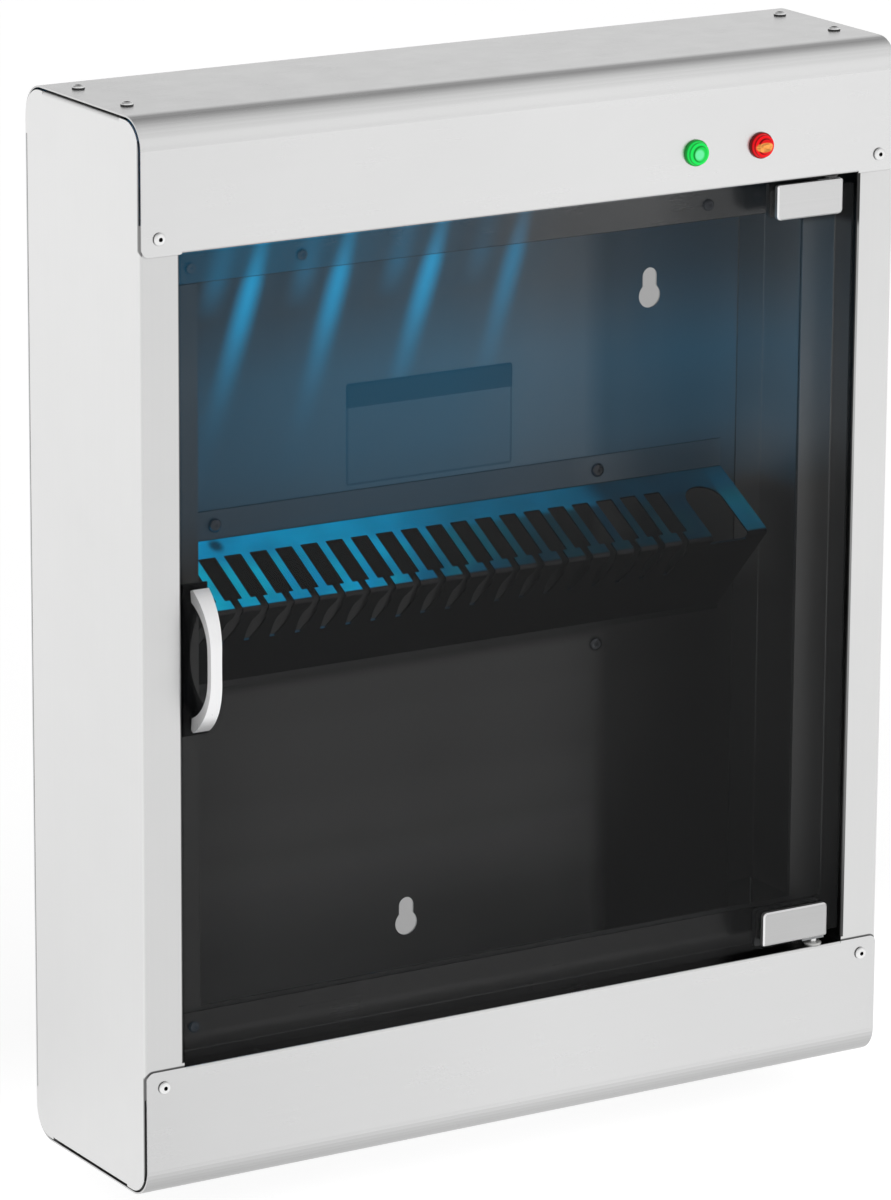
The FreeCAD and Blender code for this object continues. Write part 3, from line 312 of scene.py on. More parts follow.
def side_shade(n, col):
    """Painted light and shade: outside faces stay bright; the faces round the opening and inside are painted dim.
    Front faces are painted a little darker than the flanks."""
    x, y, z = n.xyz()
    nx, ny, nz = n.normal()
    ax, az = n.math("ABSOLUTE", x), n.math("ABSOLUTE", z)
    inward = n.math("LESS_THAN", n.math("MULTIPLY", nx, n.math("SIGN", x)), -0.3)
    deep = n.math("MULTIPLY", n.math("GREATER_THAN", y, -0.1335), n.math("LESS_THAN", ax, 0.2545))
    fold = n.math("MULTIPLY", n.math("GREATER_THAN", y, -0.1362), n.math("LESS_THAN", ax, 0.2325))
    facing = n.math("MULTIPLY", n.math("LESS_THAN", ny, -0.3), n.math("GREATER_THAN", y, -0.030))
    inside = n.math("MULTIPLY", n.math("GREATER_THAN", y, -0.1310), n.math("LESS_THAN", az, 0.2416))
    n.wall = n.math("MULTIPLY", n.math("MAXIMUM", n.math("MULTIPLY", inward, n.math("GREATER_THAN", ax, 0.2500)),
                                       facing), inside)
    n.lip = n.math("MULTIPLY", n.math("MAXIMUM", n.math("MAXIMUM", inward, deep), fold),
                   n.math("SUBTRACT", 1.0, n.wall))
    right = n.math("GREATER_THAN", x, 0.0)
    edge_on = n.math("MULTIPLY", n.math("GREATER_THAN", n.math("ABSOLUTE", nx), 0.7),
                     n.math("GREATER_THAN", ax, 0.2250))
    # painted light and shade on the lips and returns: brighter higher up, the bend of the right lip darker
    lip_r = n.curve(z, LIP_RIGHT_PAINTED_LIGHT)
    bend = n.math("MULTIPLY", n.maprange(n.math("ABSOLUTE", nx), 0.12, 0.35, 0.0, 1.0, True),
                  n.math("GREATER_THAN", ax, 0.2250))
    bend = n.math("MULTIPLY", bend, n.math("SUBTRACT", 1.0, edge_on))
    lip_r = n.math("MULTIPLY", lip_r, n.math("MULTIPLY_ADD", bend, -0.30, 1.0))
    ret_r = n.curve(z, [(-0.22, 0.09), (-0.17, 0.17), (-0.06, 0.18), (0.02, 0.21), (0.05, 0.25), (0.08, 0.37),
                        (0.12, 0.38), (0.20, 0.35)])
    lip_l = n.curve(z, [(-0.24, 0.13), (-0.12, 0.165), (-0.05, 0.185), (0.05, 0.14), (0.09, 0.20), (0.16, 0.26),
                        (0.20, 0.21)])
    lip_col = n.mix(right, lip_l, n.mix(edge_on, lip_r, ret_r))
    # painted shade: front faces darker than the flanks, more at the left, and a slow change with height
    front = n.maprange(ny, -0.9, -0.3, 1.0, 0.0, True)
    k = n.math("MULTIPLY_ADD", front, n.maprange(x, -0.25, 0.25, -0.222, -0.155), 1.0)
    tall = n.curve(z, [(-0.32, 0.915), (0.0, 1.0), (0.28, 1.045)])
    flat = n.curve(z, [(-0.32, 0.967), (0.0, 1.0), (0.28, 0.994)])
    k = n.math("MULTIPLY", k, n.math("MULTIPLY_ADD", n.math("SUBTRACT", flat, tall), front, tall))
    # painted shadow: thin dark line beside the ears of the covers, where the gap between cover and side panel is in
    # shade
    qx = n.math("MAXIMUM", n.math("SUBTRACT", ax, 0.2522), 0.0)
    qz = n.math("MAXIMUM", n.math("SUBTRACT", 0.2460, az), 0.0)
    d = n.math("SUBTRACT", n.math("SQRT", n.math("ADD", n.math("MULTIPLY", qx, qx), n.math("MULTIPLY", qz, qz))),
               0.0045)
    d = n.math("SUBTRACT", 1.0, n.maprange(n.math("ABSOLUTE", d), 0.00065, 0.00115, 0.0, 1.0, True))
    d = n.math("MULTIPLY", d, n.math("MULTIPLY", n.math("LESS_THAN", y, -0.1345), n.math("GREATER_THAN", az, 0.2395)))
    upper = n.math("GREATER_THAN", z, 0.0)
    amount = n.maprange(upper, 0.0, 1.0, 0.80, 0.12)
    amount = n.math("MAXIMUM", amount, n.math("MULTIPLY", n.math("GREATER_THAN", qx, 0.0036), 0.70))
    k = n.math("MULTIPLY", k, n.math("SUBTRACT", 1.0, n.math("MULTIPLY", d, amount)))
    # painted light and reflection on the chamber walls
    grey = n.math("MULTIPLY", wall_grey_painted_light(n, x, z),
                  n.curve(z, [(-0.27, 1.15), (-0.05, 1.20), (0.02, 1.15), (0.08, 0.92), (0.14, 0.74), (0.20, 0.68)]))
    # painted shade: a notch at the top right and the front edge faces of the lips are darkened
    n.notch = n.math("MULTIPLY", n.maprange(z, 0.207, 0.214, 0.0, 1.0, True), n.math("GREATER_THAN", x, 0.19))
    gap_shade = n.math("MULTIPLY", edge_on, n.math("MULTIPLY", n.math("LESS_THAN", ax, 0.2330),
                                               n.maprange(y, -0.1315, -0.1300, 1.0, 0.0, True)))
    gap_shade = n.math("MULTIPLY", gap_shade, n.curve(z, [(-0.25, 0.35), (-0.12, 0.55), (-0.03, 1.0)]))
    shade_mul = n.math("SUBTRACT", 1.0, n.math("MULTIPLY", n.math("MAXIMUM", n.notch, gap_shade), 0.85))
    out = n.mix(n.wall, n.scale(col, k), n.math("MULTIPLY", grey, shade_mul))
    return n.mix(n.lip, out, n.scale(lip_col, shade_mul))


side_steel = steel("side_steel", (0.780, 0.780, 0.778), 0.36, "z", 0.012, bump=0.012, shade=side_shade)
sx, sy_, sz = side_steel.xyz()
m = side_steel.math
# painted light: blue glow on the lips and chamber walls, as emission
edge_on = m("MULTIPLY", side_steel.maprange(m("ABSOLUTE", side_steel.normal()[0]), 0.15, 0.60, 0.0, 1.0),
            m("GREATER_THAN", m("ABSOLUTE", sx), 0.2250))
right_glow = side_steel.curve(sz, [(0.045, 0.0), (0.08, 0.042), (0.12, 0.075), (0.16, 0.085), (0.21, 0.045)])
right_glow = m("MULTIPLY", right_glow, m("SUBTRACT", 1.0, edge_on))
left_glow = side_steel.curve(sz, [(0.045, 0.0), (0.08, 0.055), (0.16, 0.085), (0.21, 0.085)])
lip_part = side_steel.mix(m("GREATER_THAN", sx, 0.0), left_glow, right_glow)
lip_part = m("MULTIPLY", lip_part, side_steel.lip)
lip_part = m("MULTIPLY", lip_part, m("GREATER_THAN", sy_, -0.1340))
lip_part = m("MULTIPLY", lip_part, m("LESS_THAN", m("ABSOLUTE", sx), 0.2330))
lip_part = m("MULTIPLY", lip_part, m("LESS_THAN", m("ABSOLUTE", sz), 0.2412))
side_steel.set(emit=UV, power=m("MULTIPLY", m("MULTIPLY_ADD", m("MULTIPLY", side_steel.wall, 0.72),
                                              chamber_glow(side_steel, sx, sz), lip_part),
                                m("SUBTRACT", 1.0, side_steel.notch)))


def cover_shade(n, col):
    x, y, z = n.xyz()
    nx, ny, nz = n.normal()
    inner = n.math("MULTIPLY", n.math("GREATER_THAN", y, -0.1365),
                   n.math("LESS_THAN", n.math("ABSOLUTE", z), 0.2419))
    n.inner = inner
    upper = n.math("GREATER_THAN", z, 0.0)
    # painted light on the lips: tone by x, brightest right of the middle on the upper lip
    lip_col = n.mix(upper, n.curve(x, [(-0.24, 0.105), (-0.10, 0.150), (0.04, 0.140), (0.12, 0.114), (0.20, 0.105)]),
                    n.curve(x, [(-0.24, 0.11), (-0.14, 0.145), (-0.08, 0.235), (-0.02, 0.28), (0.01, 0.41),
                                (0.10, 0.465), (0.13, 0.29), (0.20, 0.27)]))
    # painted shade and highlight by slope: faces turned down are darker, the upper bend has a brighter band
    below = n.curve(nz, [(-1.0, 0.50), (-0.60, 0.69), (-0.30, 0.81), (-0.10, 0.945), (0.0, 1.0), (0.50, 1.0),
                         (0.64, 1.05), (0.82, 1.12), (0.92, 1.14), (0.965, 0.97), (0.990, 0.96), (0.998, 1.012),
                         (1.0, 1.012)])
    # painted light: the covers darker at the left, the lower cover darker than the upper
    drift = n.mix(upper, n.curve(x, [(-0.25, 0.865), (0.02, 0.965), (0.25, 0.925)]),
                  n.curve(x, [(-0.25, 0.945), (0.02, 1.01), (0.25, 1.01)]))
    return n.mix(inner, n.scale(n.scale(col, below), drift), lip_col)


cover_steel = steel("cover_steel", (0.680, 0.680, 0.680), 0.24, "x", 0.012, bump=0.012, shade=cover_shade)
sx, sy_, sz = cover_steel.xyz()
m = cover_steel.math
# painted light: the shafts run on over the upper lip, which lies 113 mm in front of the back, with a blue glow
# strongest at the left
on_lip = m("MULTIPLY", cover_steel.inner, m("GREATER_THAN", sz, 0.2))
on_lip = m("MULTIPLY", on_lip, m("GREATER_THAN", sy_, -0.1175))
on_lip = m("MULTIPLY", on_lip, m("LESS_THAN", m("ABSOLUTE", sx), 0.2315))
back_x = m("ADD", m("MULTIPLY_ADD", m("ADD", sx, 0.0401), 0.0361, 0.0688), sx)
back_z = m("SUBTRACT", sz, 0.0281)
lip_glow = cover_steel.curve(sx, [(-0.24, 0.20), (-0.168, 0.30), (-0.107, 0.24), (-0.048, 0.14), (0.0, 0.05),
                                  (0.013, 0.02), (0.10, 0.008), (0.24, 0.008)])
lip_e = m("MULTIPLY_ADD", shafts(cover_steel, back_x, back_z), 0.62, m("MULTIPLY", lip_glow, 0.80))
cover_steel.set(emit=UV, power=m("MULTIPLY", on_lip, lip_e))


def frame_shade(n, col):
    """Painted shade: dark, but the upright on the right shows its edge in the painted light of the lip."""
    x, y, z = n.xyz()
    nx, ny, nz = n.normal()
    n.rim = n.math("MULTIPLY", n.math("GREATER_THAN", x, 0.200), n.math("LESS_THAN", nx, -0.7))
    n.rim = n.math("MULTIPLY", n.rim, n.math("LESS_THAN", n.math("ABSOLUTE", z), 0.2200))
    return n.mix(n.rim, col, n.math("MULTIPLY", n.curve(z, LIP_RIGHT_PAINTED_LIGHT), 0.92))


inner_steel = steel("inner_steel", (0.12, 0.122, 0.125), 0.45, "x", bump=0.0, shade=frame_shade)
# painted light: the right upright's edge glows blue like the lip
inner_steel.set(emit=UV, power=inner_steel.math(
    "MULTIPLY", inner_steel.rim, inner_steel.curve(inner_steel.xyz()[2], [
        (0.045, 0.0), (0.08, 0.042), (0.12, 0.075), (0.16, 0.085), (0.21, 0.045)])))


def hinge_shade(n, col):
    """Satin face, darker on the lower hinge (painted shade), with a painted highlight on the bevel."""
    x, y, z = n.xyz()
    nx, ny, nz = n.normal()
    face = n.maprange(z, -0.1, 0.1, 0.80, 1.0)
    bevel = n.maprange(ny, -0.99, -0.90, 0.0, 1.0)
    return n.scale(col, n.math("MULTIPLY_ADD", n.math("SUBTRACT", 1.36, face), bevel, face))


hinge_steel = steel("hinge_steel", (0.60, 0.60, 0.60), 0.36, "x", 0.03, 2200, shade=hinge_shade)


def screw_shade(n, col):
    """Painted shade: dark sockets, and a painted shadow round the flank where the head meets the sheet."""
    x, y, z = n.xyz()
    nx, ny, nz = n.normal()
    ax = n.math("ABSOLUTE", x)

    def near(a, b):
        d = n.math("SQRT", n.math("ADD", n.math("MULTIPLY", a, a), n.math("MULTIPLY", b, b)))
        return n.math("LESS_THAN", d, 0.00127)

    f = near(n.math("SUBTRACT", ax, 0.2455), n.math("SUBTRACT", n.math("ABSOLUTE", z), 0.2515))
    for yy in (-0.094, -0.036):
        f = n.math("MAXIMUM", f, near(n.math("MULTIPLY", n.math("SUBTRACT", ax, 0.2415), 0.62),
                                      n.math("MULTIPLY", n.math("SUBTRACT", y, yy), 0.62)))
    # painted shadow where the head meets the sheet
    front = n.math("GREATER_THAN", y, -0.13865)
    above = n.math("MULTIPLY", n.math("LESS_THAN", n.math("ABSOLUTE", z), 0.32085),
                   n.math("GREATER_THAN", n.math("ABSOLUTE", z), 0.30))
    base = n.math("MAXIMUM", n.math("MULTIPLY", front, n.math("LESS_THAN", n.math("ABSOLUTE", z), 0.30)), above)
    return n.mix(f, n.mix(base, col, (0.06, 0.06, 0.06)), (0.01, 0.01, 0.01))


handle_steel = steel("handle_steel", (0.82, 0.82, 0.825), 0.30, "z", 0.02, 900, 0.015, 0.02, metal=0.55)
cover_screw = steel("cover_screw_steel", (0.78, 0.78, 0.78), 0.28, "x", 0.04, 1500, 0.03, 0.02,
                    shade=screw_shade)
screw_steel = steel("screw_steel", (0.70, 0.70, 0.70), 0.26, "x", 0.06, 1500, 0.05, 0.04)
# painted shade: the chamber screws are a darkened copy of the screw steel, for the shade behind the glass
dim_screw = steel("chamber_screw_steel", (0.20, 0.21, 0.23), 0.16, "x", 0.06, 1500, 0.0, 0.04)
# painted light: a faint blue glow on the upper chamber screws
px_, py_, pz_ = dim_screw.xyz()
dim_screw.set(emit=UV, power=dim_screw.math("MULTIPLY", dim_screw.maprange(pz_, 0.05, 0.20, 0.02, 0.14),
                                            dim_screw.maprange(px_, -0.15, 0.15, 1.0, 0.0)))
# painted shade: the inner clamp plates are a darkened copy of the hinge steel, and the strike plate is near black where
# the handle's dark reflection and shade fall
dim_plate = steel("hinge_clamp_steel", (0.24, 0.245, 0.25), 0.40, "x", 0.03, 1500, 0.0, 0.03)
dark_plate = steel("strike_steel", (0.020, 0.020, 0.021), 0.40, "z", 0.05, 1200, 0.0, 0.03)
pin_steel = steel("pin_steel", (0.7, 0.7, 0.7), 0.25, "z", 0.05, 1500, 0.04, 0.03)
alu = steel("reflector_sheet", (0.9, 0.91, 0.92), 0.22, "x", 0.03, 600, 0.03, 0.02)
cap_alu = steel("cap_metal", (0.75, 0.75, 0.76), 0.33, "x", 0.05, 1200, 0.04, 0.03)
black_plastic = plastic("black_plastic", (0.018, 0.018, 0.019), 0.42)
catch_plastic = plastic("catch_plastic", (0.003, 0.003, 0.003), 0.6, spec=0.1)
white_plastic = plastic("white_plastic", (0.78, 0.78, 0.75), 0.32, 700, 0.04)
nylon = plastic("bush_nylon", (0.50, 0.50, 0.49), 0.36, 800, 0.04)
px_, py_, pz_ = nylon.xyz()
nylon.set(color=nylon.mix(nylon.math("GREATER_THAN", pz_, 0.0), (0.48, 0.48, 0.47), (0.03, 0.03, 0.03)))
rubber = plastic("pad_rubber", (0.012, 0.012, 0.012), 0.75, 1400, 0.12, 0.3)
# the inner pads take the painted tone of the chamber behind them, lighter higher up (painted light); the outer pads are
# dark
px_, py_, pz_ = rubber.xyz()
rubber.set(color=rubber.mix(rubber.math("GREATER_THAN", py_, -0.1310), (0.010, 0.010, 0.010),
                            rubber.curve(pz_, [(-0.24, 0.06), (0.24, 0.22)])))
enamel = plastic("ballast_enamel", (0.74, 0.75, 0.74), 0.3, 300, 0.03)
rocker_plastic = plastic("rocker_plastic", (0.02, 0.02, 0.022), 0.2, 900, 0.02)


def interior_steel():
    """Back panel: dark satin sheet, its grey painted light and shade, with the pale blue shafts of light
    that the tube throws down through the slots painted on as emission."""
    def shade(n, col):
        x, y, z = n.xyz()
        nx, ny, nz = n.normal()
        n.face = n.math("LESS_THAN", ny, -0.5)
        n.beam = shafts(n, x, z)
        # painted light and shade: the front face takes the painted wall grey, darker under the painted shafts
        dim = n.math("MULTIPLY", wall_grey_painted_light(n, x, z),
                     n.math("SUBTRACT", 1.0, n.math("MULTIPLY", n.math("MINIMUM", n.beam, 1.0), 0.30)))
        dim = n.math("MULTIPLY", dim, n.maprange(n.noise(n.co(), 5.0, 2.0), 0.3, 0.7, 0.97, 1.03))
        return n.mix(n.face, (0.62, 0.625, 0.63), dim)

    n = steel("back_steel", (0.150, 0.150, 0.150), 0.42, "z", 0.01, 1800, 0.0, 0.02, shade=shade)
    x, y, z = n.xyz()
    wob = n.maprange(n.noise(n.mapping((14.0, 1.0, 5.0)), 1.0, 2.0), 0.3, 0.7, 0.85, 1.12)
    e = n.math("ADD", n.math("MULTIPLY", n.beam, wob), chamber_glow(n, x, z))
    # slanting patches of light behind the rack's apron, one for each slot
    u = n.math("MULTIPLY_ADD", n.math("ADD", z, 0.0325), -0.55, x)
    t = n.math("DIVIDE", n.math("ADD", u, 0.1165 + 0.01744 * 10), 0.01744)
    t = n.math("FRACT", t)
    patch = n.band(t, 0.04, 0.50, 0.07)
    patch = n.math("MULTIPLY", patch, n.band(z, -0.037, -0.013, 0.003))
    patch = n.math("MULTIPLY", patch, n.curve(x, [(-0.235, 1.0), (0.00, 0.9), (0.08, 0.5), (0.13, 0.0), (0.24, 0.0)]))
    inside = n.math("MULTIPLY", n.face, n.math("LESS_THAN", n.math("ABSOLUTE", x), 0.2562))
    e = n.math("MULTIPLY", e, inside)
    grey = n.math("MULTIPLY", n.math("MULTIPLY", patch, inside), 0.045)
    n.set(emit=n.mix(n.math("GREATER_THAN", grey, 0.0002), UV, (1.0, 1.0, 1.0)),
          power=n.math("MAXIMUM", e, grey))
    return n


back_steel = interior_steel()


def rack_material():
    """Rack with painted light: its sloping top glows with painted blue light, most of all at the left;
    the apron below is painted dark."""
    def shade(n, col):
        x, y, z = n.xyz()
        nx, ny, nz = n.normal()
        n.top = n.math("MULTIPLY", n.maprange(nz, 0.70, 0.86, 0.0, 1.0, True), n.math("LESS_THAN", ny, -0.2))
        n.up = n.math("MULTIPLY", n.math("LESS_THAN", ny, -0.9), n.math("GREATER_THAN", z, 0.0295))
        # painted light and shade: tone of the sloping top and of the upright by x
        top_col = n.curve(x, [(-0.226, 0.030), (-0.03, 0.035), (0.01, 0.12), (0.09, 0.13), (0.14, 0.10), (0.226, 0.10)])
        base = n.mix(n.math("GREATER_THAN", z, -0.060), n.math("MULTIPLY", wall_grey_painted_light(n, x, z), 0.95), col)
        up_col = n.curve(x, [(-0.226, 0.185), (0.043, 0.215), (0.113, 0.31), (0.140, 0.50), (0.226, 0.62)])
        return n.mix(n.up, n.mix(n.top, base, top_col), up_col)

    n = steel("rack_steel", (0.105, 0.106, 0.108), 0.40, "x", 0.03, 1800, 0.0, 0.02, shade=shade)
    x, y, z = n.xyz()
    u = n.math("MULTIPLY_ADD", n.math("ADD", y, 0.020), -0.9, x)
    run = n.curve(u, [(-0.26, 0.98), (-0.157, 1.04), (-0.10, 1.00), (-0.040, 1.04), (-0.010, 0.78), (0.020, 0.31),
                      (0.055, 0.17), (0.090, 0.06), (0.125, 0.06), (0.170, 0.05), (0.24, 0.06)])
    strip = n.curve(x, [(-0.23, 0.95), (-0.042, 0.97), (-0.019, 0.82), (0.003, 0.64), (0.025, 0.48), (0.046, 0.40),
                        (0.090, 0.38), (0.118, 0.31), (0.135, 0.09), (0.240, 0.09)])
    hind = n.maprange(y, -0.0215, -0.0165, 0.0, 1.0, True)
    run = n.math("MULTIPLY_ADD", n.math("SUBTRACT", strip, run), hind, run)
    wob = n.maprange(n.noise(n.mapping((38.0, 60.0, 60.0)), 1.0, 3.0), 0.3, 0.7, 0.80, 1.20)
    # border right of the round opening: brightest half way along
    border = n.math("MULTIPLY", n.maprange(x, 0.2100, 0.2125, 0.0, 1.0),
                    n.curve(y, [(-0.057, 0.15), (-0.048, 0.22), (-0.030, 0.22), (-0.018, 0.16), (-0.004, 0.10)]))
    run = n.math("MAXIMUM", run, border)
    e = n.math("MULTIPLY", n.math("MULTIPLY", n.top, run), wob)
    # shadow of the left screw head on the sloping top
    sp = n.math("SQRT", n.math("ADD", n.math("POWER", n.math("ADD", x, 0.1370), 2.0),
                               n.math("POWER", n.math("ADD", y, 0.0075), 2.0)))
    e = n.math("MULTIPLY", e, n.maprange(sp, 0.0015, 0.0070, 0.18, 1.0, True))
    e = n.math("MULTIPLY_ADD", n.up, n.math("MULTIPLY", chamber_glow(n, x, z), 0.62), e)
    hue = n.maprange(n.noise(n.mapping((30.0, 30.0, 30.0)), 1.0, 2.0), 0.35, 0.65, 0.0, 1.0, True)
    hue = n.math("MULTIPLY", hue, n.math("MULTIPLY", n.top, n.maprange(y, -0.0215, -0.0165, 1.0, 0.15)))
    n.set(emit=n.mix(hue, (0.0, 0.50, 0.98), (0.0, 0.69, 1.02)), power=e)
    return n


rack_steel = rack_material()


def tinted_glass():
    n = Nodes("door_glass")
    slow = n.noise(n.co(), 7.0, 2.0, 0.5)
    col = n.ramp(slow, [(0.3, (0.0035, 0.0038, 0.004)), (0.7, (0.005, 0.0053, 0.0056))])
    smear = n.noise(n.mapping((30.0, 30.0, 9.0)), 1.0, 5.0, 0.7)
    n.set(color=col, rough=n.maprange(smear, 0.45, 0.8, 0.015, 0.05), alpha=0.40, ior=1.52, spec=0.16)
    return n


def quartz():
    n = Nodes("tube_glass")
    slow = n.noise(n.co(), 20.0, 2.0, 0.5)
    n.set(color=n.ramp(slow, [(0.3, (0.60, 0.78, 0.95)), (0.7, (0.66, 0.84, 1.0))]), rough=0.06,
          alpha=0.9, emit=(0.12, 0.45, 1.0), power=2.0)
    return n


def lens(name, x0, rim, body, disc, heart, streaked):
    """Moulded lens with a lamp behind it: a dark rim, ridges round the flank and
    a flat front disc that is brightest off its middle."""
    n = Nodes(name)
    v = n.new("ShaderNodeVectorMath", operation="SUBTRACT")
    n.link(n.co(), v.inputs[0])
    v.inputs[1].default_value = at(x0, 0.0, 585.2)
    x, y, z = n.xyz(v.outputs[0])
    r = n.math("SQRT", n.math("ADD", n.math("MULTIPLY", x, x), n.math("MULTIPLY", z, z)))
    if streaked:
        dx, dz = n.math("MULTIPLY", n.math("ADD", x, 0.0004), 0.62), n.math("MULTIPLY", n.math("ADD", z, 0.0004), 1.25)
    else:
        dx, dz = n.math("ADD", x, 0.0012), n.math("ADD", z, 0.0002)
    h = n.math("SQRT", n.math("ADD", n.math("MULTIPLY", dx, dx), n.math("MULTIPLY", dz, dz)))
    f = n.maprange(r, 0.0, 0.0080, 0.0, 1.0)
    col = n.ramp(f, [(0.0, disc), (0.52, disc), (0.585, rim), (0.65, body), (0.80, body), (0.84, rim),
                     (0.87, body), (0.95, rim)])
    near = n.maprange(h, 0.0022 if not streaked else 0.0030, 0.0040, 1.0, 0.0, True)
    near = n.math("MULTIPLY", near, n.maprange(r, 0.0042 if not streaked else 0.0062,
                                               0.0046 if not streaked else 0.0068, 1.0, 0.0, True))
    fleck = n.maprange(n.noise(n.mapping((240.0, 240.0, 520.0)), 1.0, 2.0), 0.38, 0.62, 0.55, 1.12)
    col = n.mix(near, col, n.scale(n.ramp(f, [(0.0, heart), (1.0, heart)]), fleck if streaked else 1.0))
    ridge = n.math("SINE", n.math("MULTIPLY", z if streaked else r, 6283.0 * 1.05))
    n.set(color=col, rough=0.16, emit=col, power=0.62, ior=1.45, spec=0.12)
    n.bump(n.math("ADD", n.math("MULTIPLY", ridge, 0.5), n.noise(n.co(), 400.0, 2.0)), 0.18, 0.0002)
    return n


glass_mat = tinted_glass()
tube_mat = quartz()
green_lens = lens("lens_green", 371.6, (0.004, 0.16, 0.02), (0.008, 0.54, 0.07), (0.006, 0.42, 0.05),
                  (0.10, 0.56, 0.24), False)
red_lens = lens("lens_red", 417.6, (0.085, 0.0015, 0.0015), (0.60, 0.003, 0.007), (0.50, 0.003, 0.006),
                (0.66, 0.26, 0.06), True)


def label_material():
    """Plain foil label: darker head band, thin darker border, faint wear; its grey and its blue glow are painted light
    of the chamber.
    """
    n = Nodes("label_foil")
    x, y, z = n.xyz()
    head = n.math("GREATER_THAN", z, 0.1010)
    edge_x = n.math("GREATER_THAN", n.math("ABSOLUTE", n.math("SUBTRACT", x, 0.015)), 0.0570)
    edge_z = n.math("GREATER_THAN", n.math("ABSOLUTE", n.math("SUBTRACT", z, 0.0845)), 0.0300)
    edge = n.math("MAXIMUM", edge_x, edge_z)
    paper = n.maprange(n.noise(n.co(), 300.0, 2.0), 0.3, 0.7, 0.96, 1.04)
    grey = n.math("MULTIPLY", wall_grey_painted_light(n, x, z), n.maprange(head, 0.0, 1.0, 0.96, 0.30))
    grey = n.math("MULTIPLY", grey, n.maprange(edge, 0.0, 1.0, 1.0, 0.62))
    n.set(color=n.scale(n.ramp(paper, [(0.0, (1.0, 1.0, 1.0)), (1.0, (1.0, 1.0, 1.0))]), n.math("MULTIPLY", grey, paper)),
          rough=0.5, metal=0.8, emit=UV,
          power=n.math("MULTIPLY", chamber_glow(n, x, z), n.maprange(head, 0.0, 1.0, 1.0, 0.92)))
    return n


label_mat = label_material()

for name, m in {
    "side_panel_left": side_steel, "side_panel_right": side_steel, "top_cover": cover_steel,
    "bottom_cover": cover_steel, "back_panel": back_steel, "info_label": label_mat,
    "inner_frame": inner_steel, "lamp_shield": inner_steel, "reflector": alu, "uv_tube": tube_mat,
    "tube_end_caps": cap_alu, "lamp_holders": white_plastic, "ballast": enamel,
    "starter_holder": white_plastic, "starter": white_plastic, "terminal_block": white_plastic,
    "knife_rack": rack_steel, "pilot_lens_green": green_lens, "pilot_lens_red": red_lens,
    "pilot_bodies": black_plastic, "pilot_nuts": cap_alu, "cover_screws": cover_screw,
    "frame_screws": dim_screw, "rack_screws": dim_screw, "hinge_bushes": nylon,
    "magnet_catch": catch_plastic, "door_switch_body": black_plastic, "cable_gland": black_plastic,
    "gland_nut": black_plastic, "rocker_housing": black_plastic, "door_glass": glass_mat,
    "hinge_outer_plates": hinge_steel, "hinge_inner_plates": dim_plate, "hinge_pins": pin_steel,
    "hinge_pads": rubber, "hinge_screws": screw_steel, "handle": handle_steel,
    "handle_screws": screw_steel, "handle_washers": screw_steel, "strike_plate": dark_plate,
    "switch_plunger": white_plastic, "rocker": rocker_plastic,
}.items():
    assign(name, m)


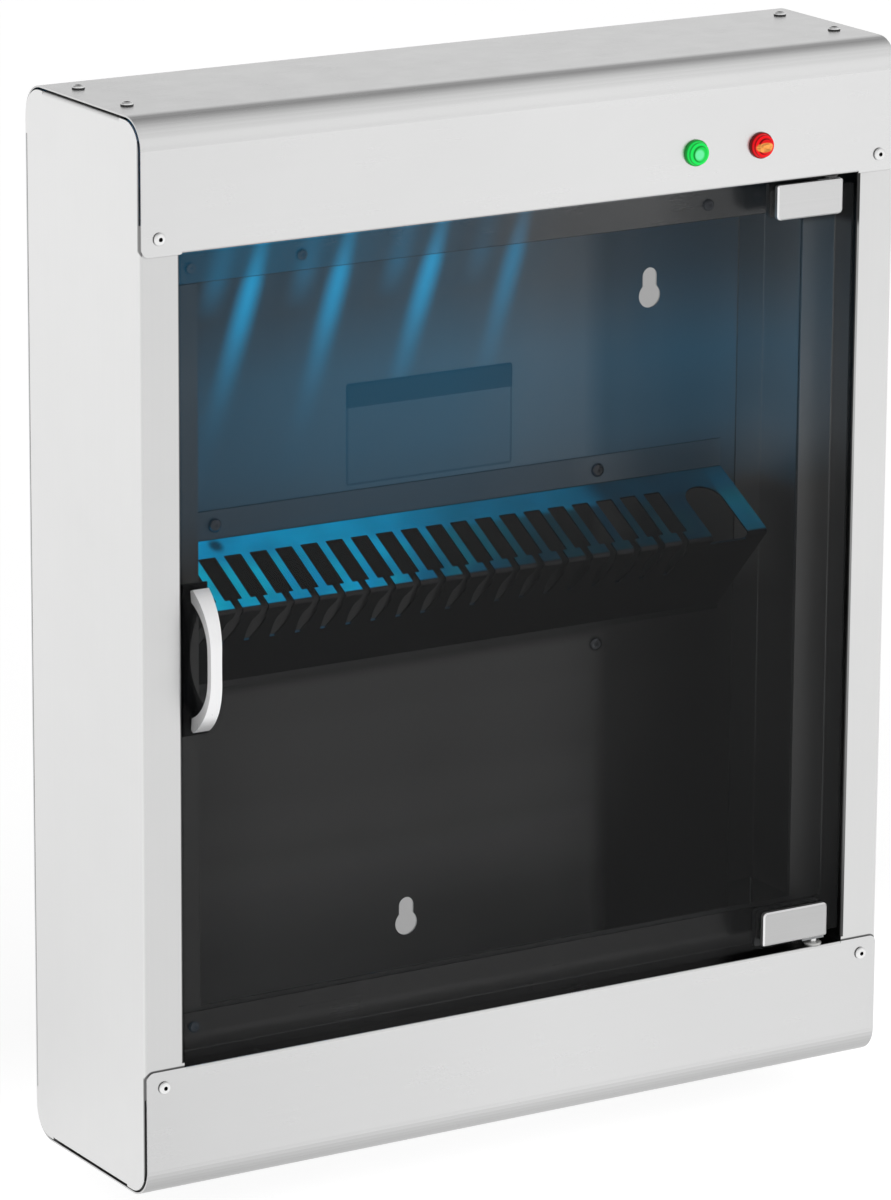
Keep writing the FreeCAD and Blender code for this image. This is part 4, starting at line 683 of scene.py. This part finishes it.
# ---------------------------------------------------------------------- stage
def stage():
    n = Nodes("floor")
    f = n.noise(n.co(), 2.0, 2.0)
    n.set(color=n.ramp(f, [(0.3, (0.44, 0.44, 0.44)), (0.7, (0.46, 0.46, 0.46))]), rough=0.9,
          spec=0.1, emit=(1.0, 1.0, 1.0), power=n.maprange(n.xyz()[1], 0.0, 0.25, 0.82, 0.70, True))
    bm = bmesh.new()
    bmesh.ops.create_grid(bm, x_segments=8, y_segments=8, size=9.0)
    me = bpy.data.meshes.new("floor")
    bm.to_mesh(me)
    bm.free()
    o = bpy.data.objects.new("floor", me)
    o.location = (0, 0, -0.345)
    me.materials.append(n.mat)
    scene.collection.objects.link(o)

    w = bpy.data.worlds.new("studio")
    scene.world = w
    w.use_nodes = True
    t = w.node_tree
    t.nodes.clear()
    out = t.nodes.new("ShaderNodeOutputWorld")
    bg = t.nodes.new("ShaderNodeBackground")
    t.links.new(bg.outputs[0], out.inputs[0])
    co = t.nodes.new("ShaderNodeTexCoord")
    sep = t.nodes.new("ShaderNodeSeparateXYZ")
    t.links.new(co.outputs["Generated"], sep.inputs[0])

    def sky(stops):
        """Grey level by height; each stop is (sine of elevation, level)."""
        rp = t.nodes.new("ShaderNodeValToRGB")
        mr = t.nodes.new("ShaderNodeMapRange")
        mr.inputs[1].default_value, mr.inputs[2].default_value = -1.0, 1.0
        t.links.new(sep.outputs[2], mr.inputs[0])
        t.links.new(mr.outputs[0], rp.inputs[0])
        e = rp.color_ramp.elements
        while len(e) < len(stops):
            e.new(0.5)
        for el, (p, v) in zip(e, stops):
            el.position, el.color = (p + 1) / 2, (v, v, v, 1)
        return rp.outputs[0]

    front = sky([(-0.2, 0.97), (0.35, 0.97), (0.60, 0.96), (0.72, 0.93), (0.80, 0.85), (0.88, 0.72),
                 (0.95, 0.52), (1.0, 0.42)])
    rear = sky([(-0.2, 0.82), (0.20, 0.81), (0.36, 0.79), (0.53, 0.46), (0.75, 0.30), (0.90, 0.34),
                (1.0, 0.40)])
    side = t.nodes.new("ShaderNodeMapRange")
    side.interpolation_type = "SMOOTHSTEP"
    t.links.new(sep.outputs[1], side.inputs[0])
    side.inputs[1].default_value, side.inputs[2].default_value = -0.25, 0.45
    mx = t.nodes.new("ShaderNodeMix")
    mx.data_type = "RGBA"
    t.links.new(side.outputs[0], mx.inputs[0])
    t.links.new(front, mx.inputs[6])
    t.links.new(rear, mx.inputs[7])
    t.links.new(mx.outputs[2], bg.inputs[0])
    bg.inputs[1].default_value = 1.0

    def area(name, loc, target, size, power):
        l = bpy.data.lights.new(name, "AREA")
        l.shape = "RECTANGLE"
        l.size, l.size_y = size
        l.energy = power
        o = bpy.data.objects.new(name, l)
        o.location = loc
        d = Vector(target) - Vector(loc)
        o.rotation_euler = d.to_track_quat("-Z", "Y").to_euler()
        scene.collection.objects.link(o)

    area("key", (1.5, -2.6, 1.15), (0, 0, 0.1), (1.6, 1.6), 1.0)


stage()
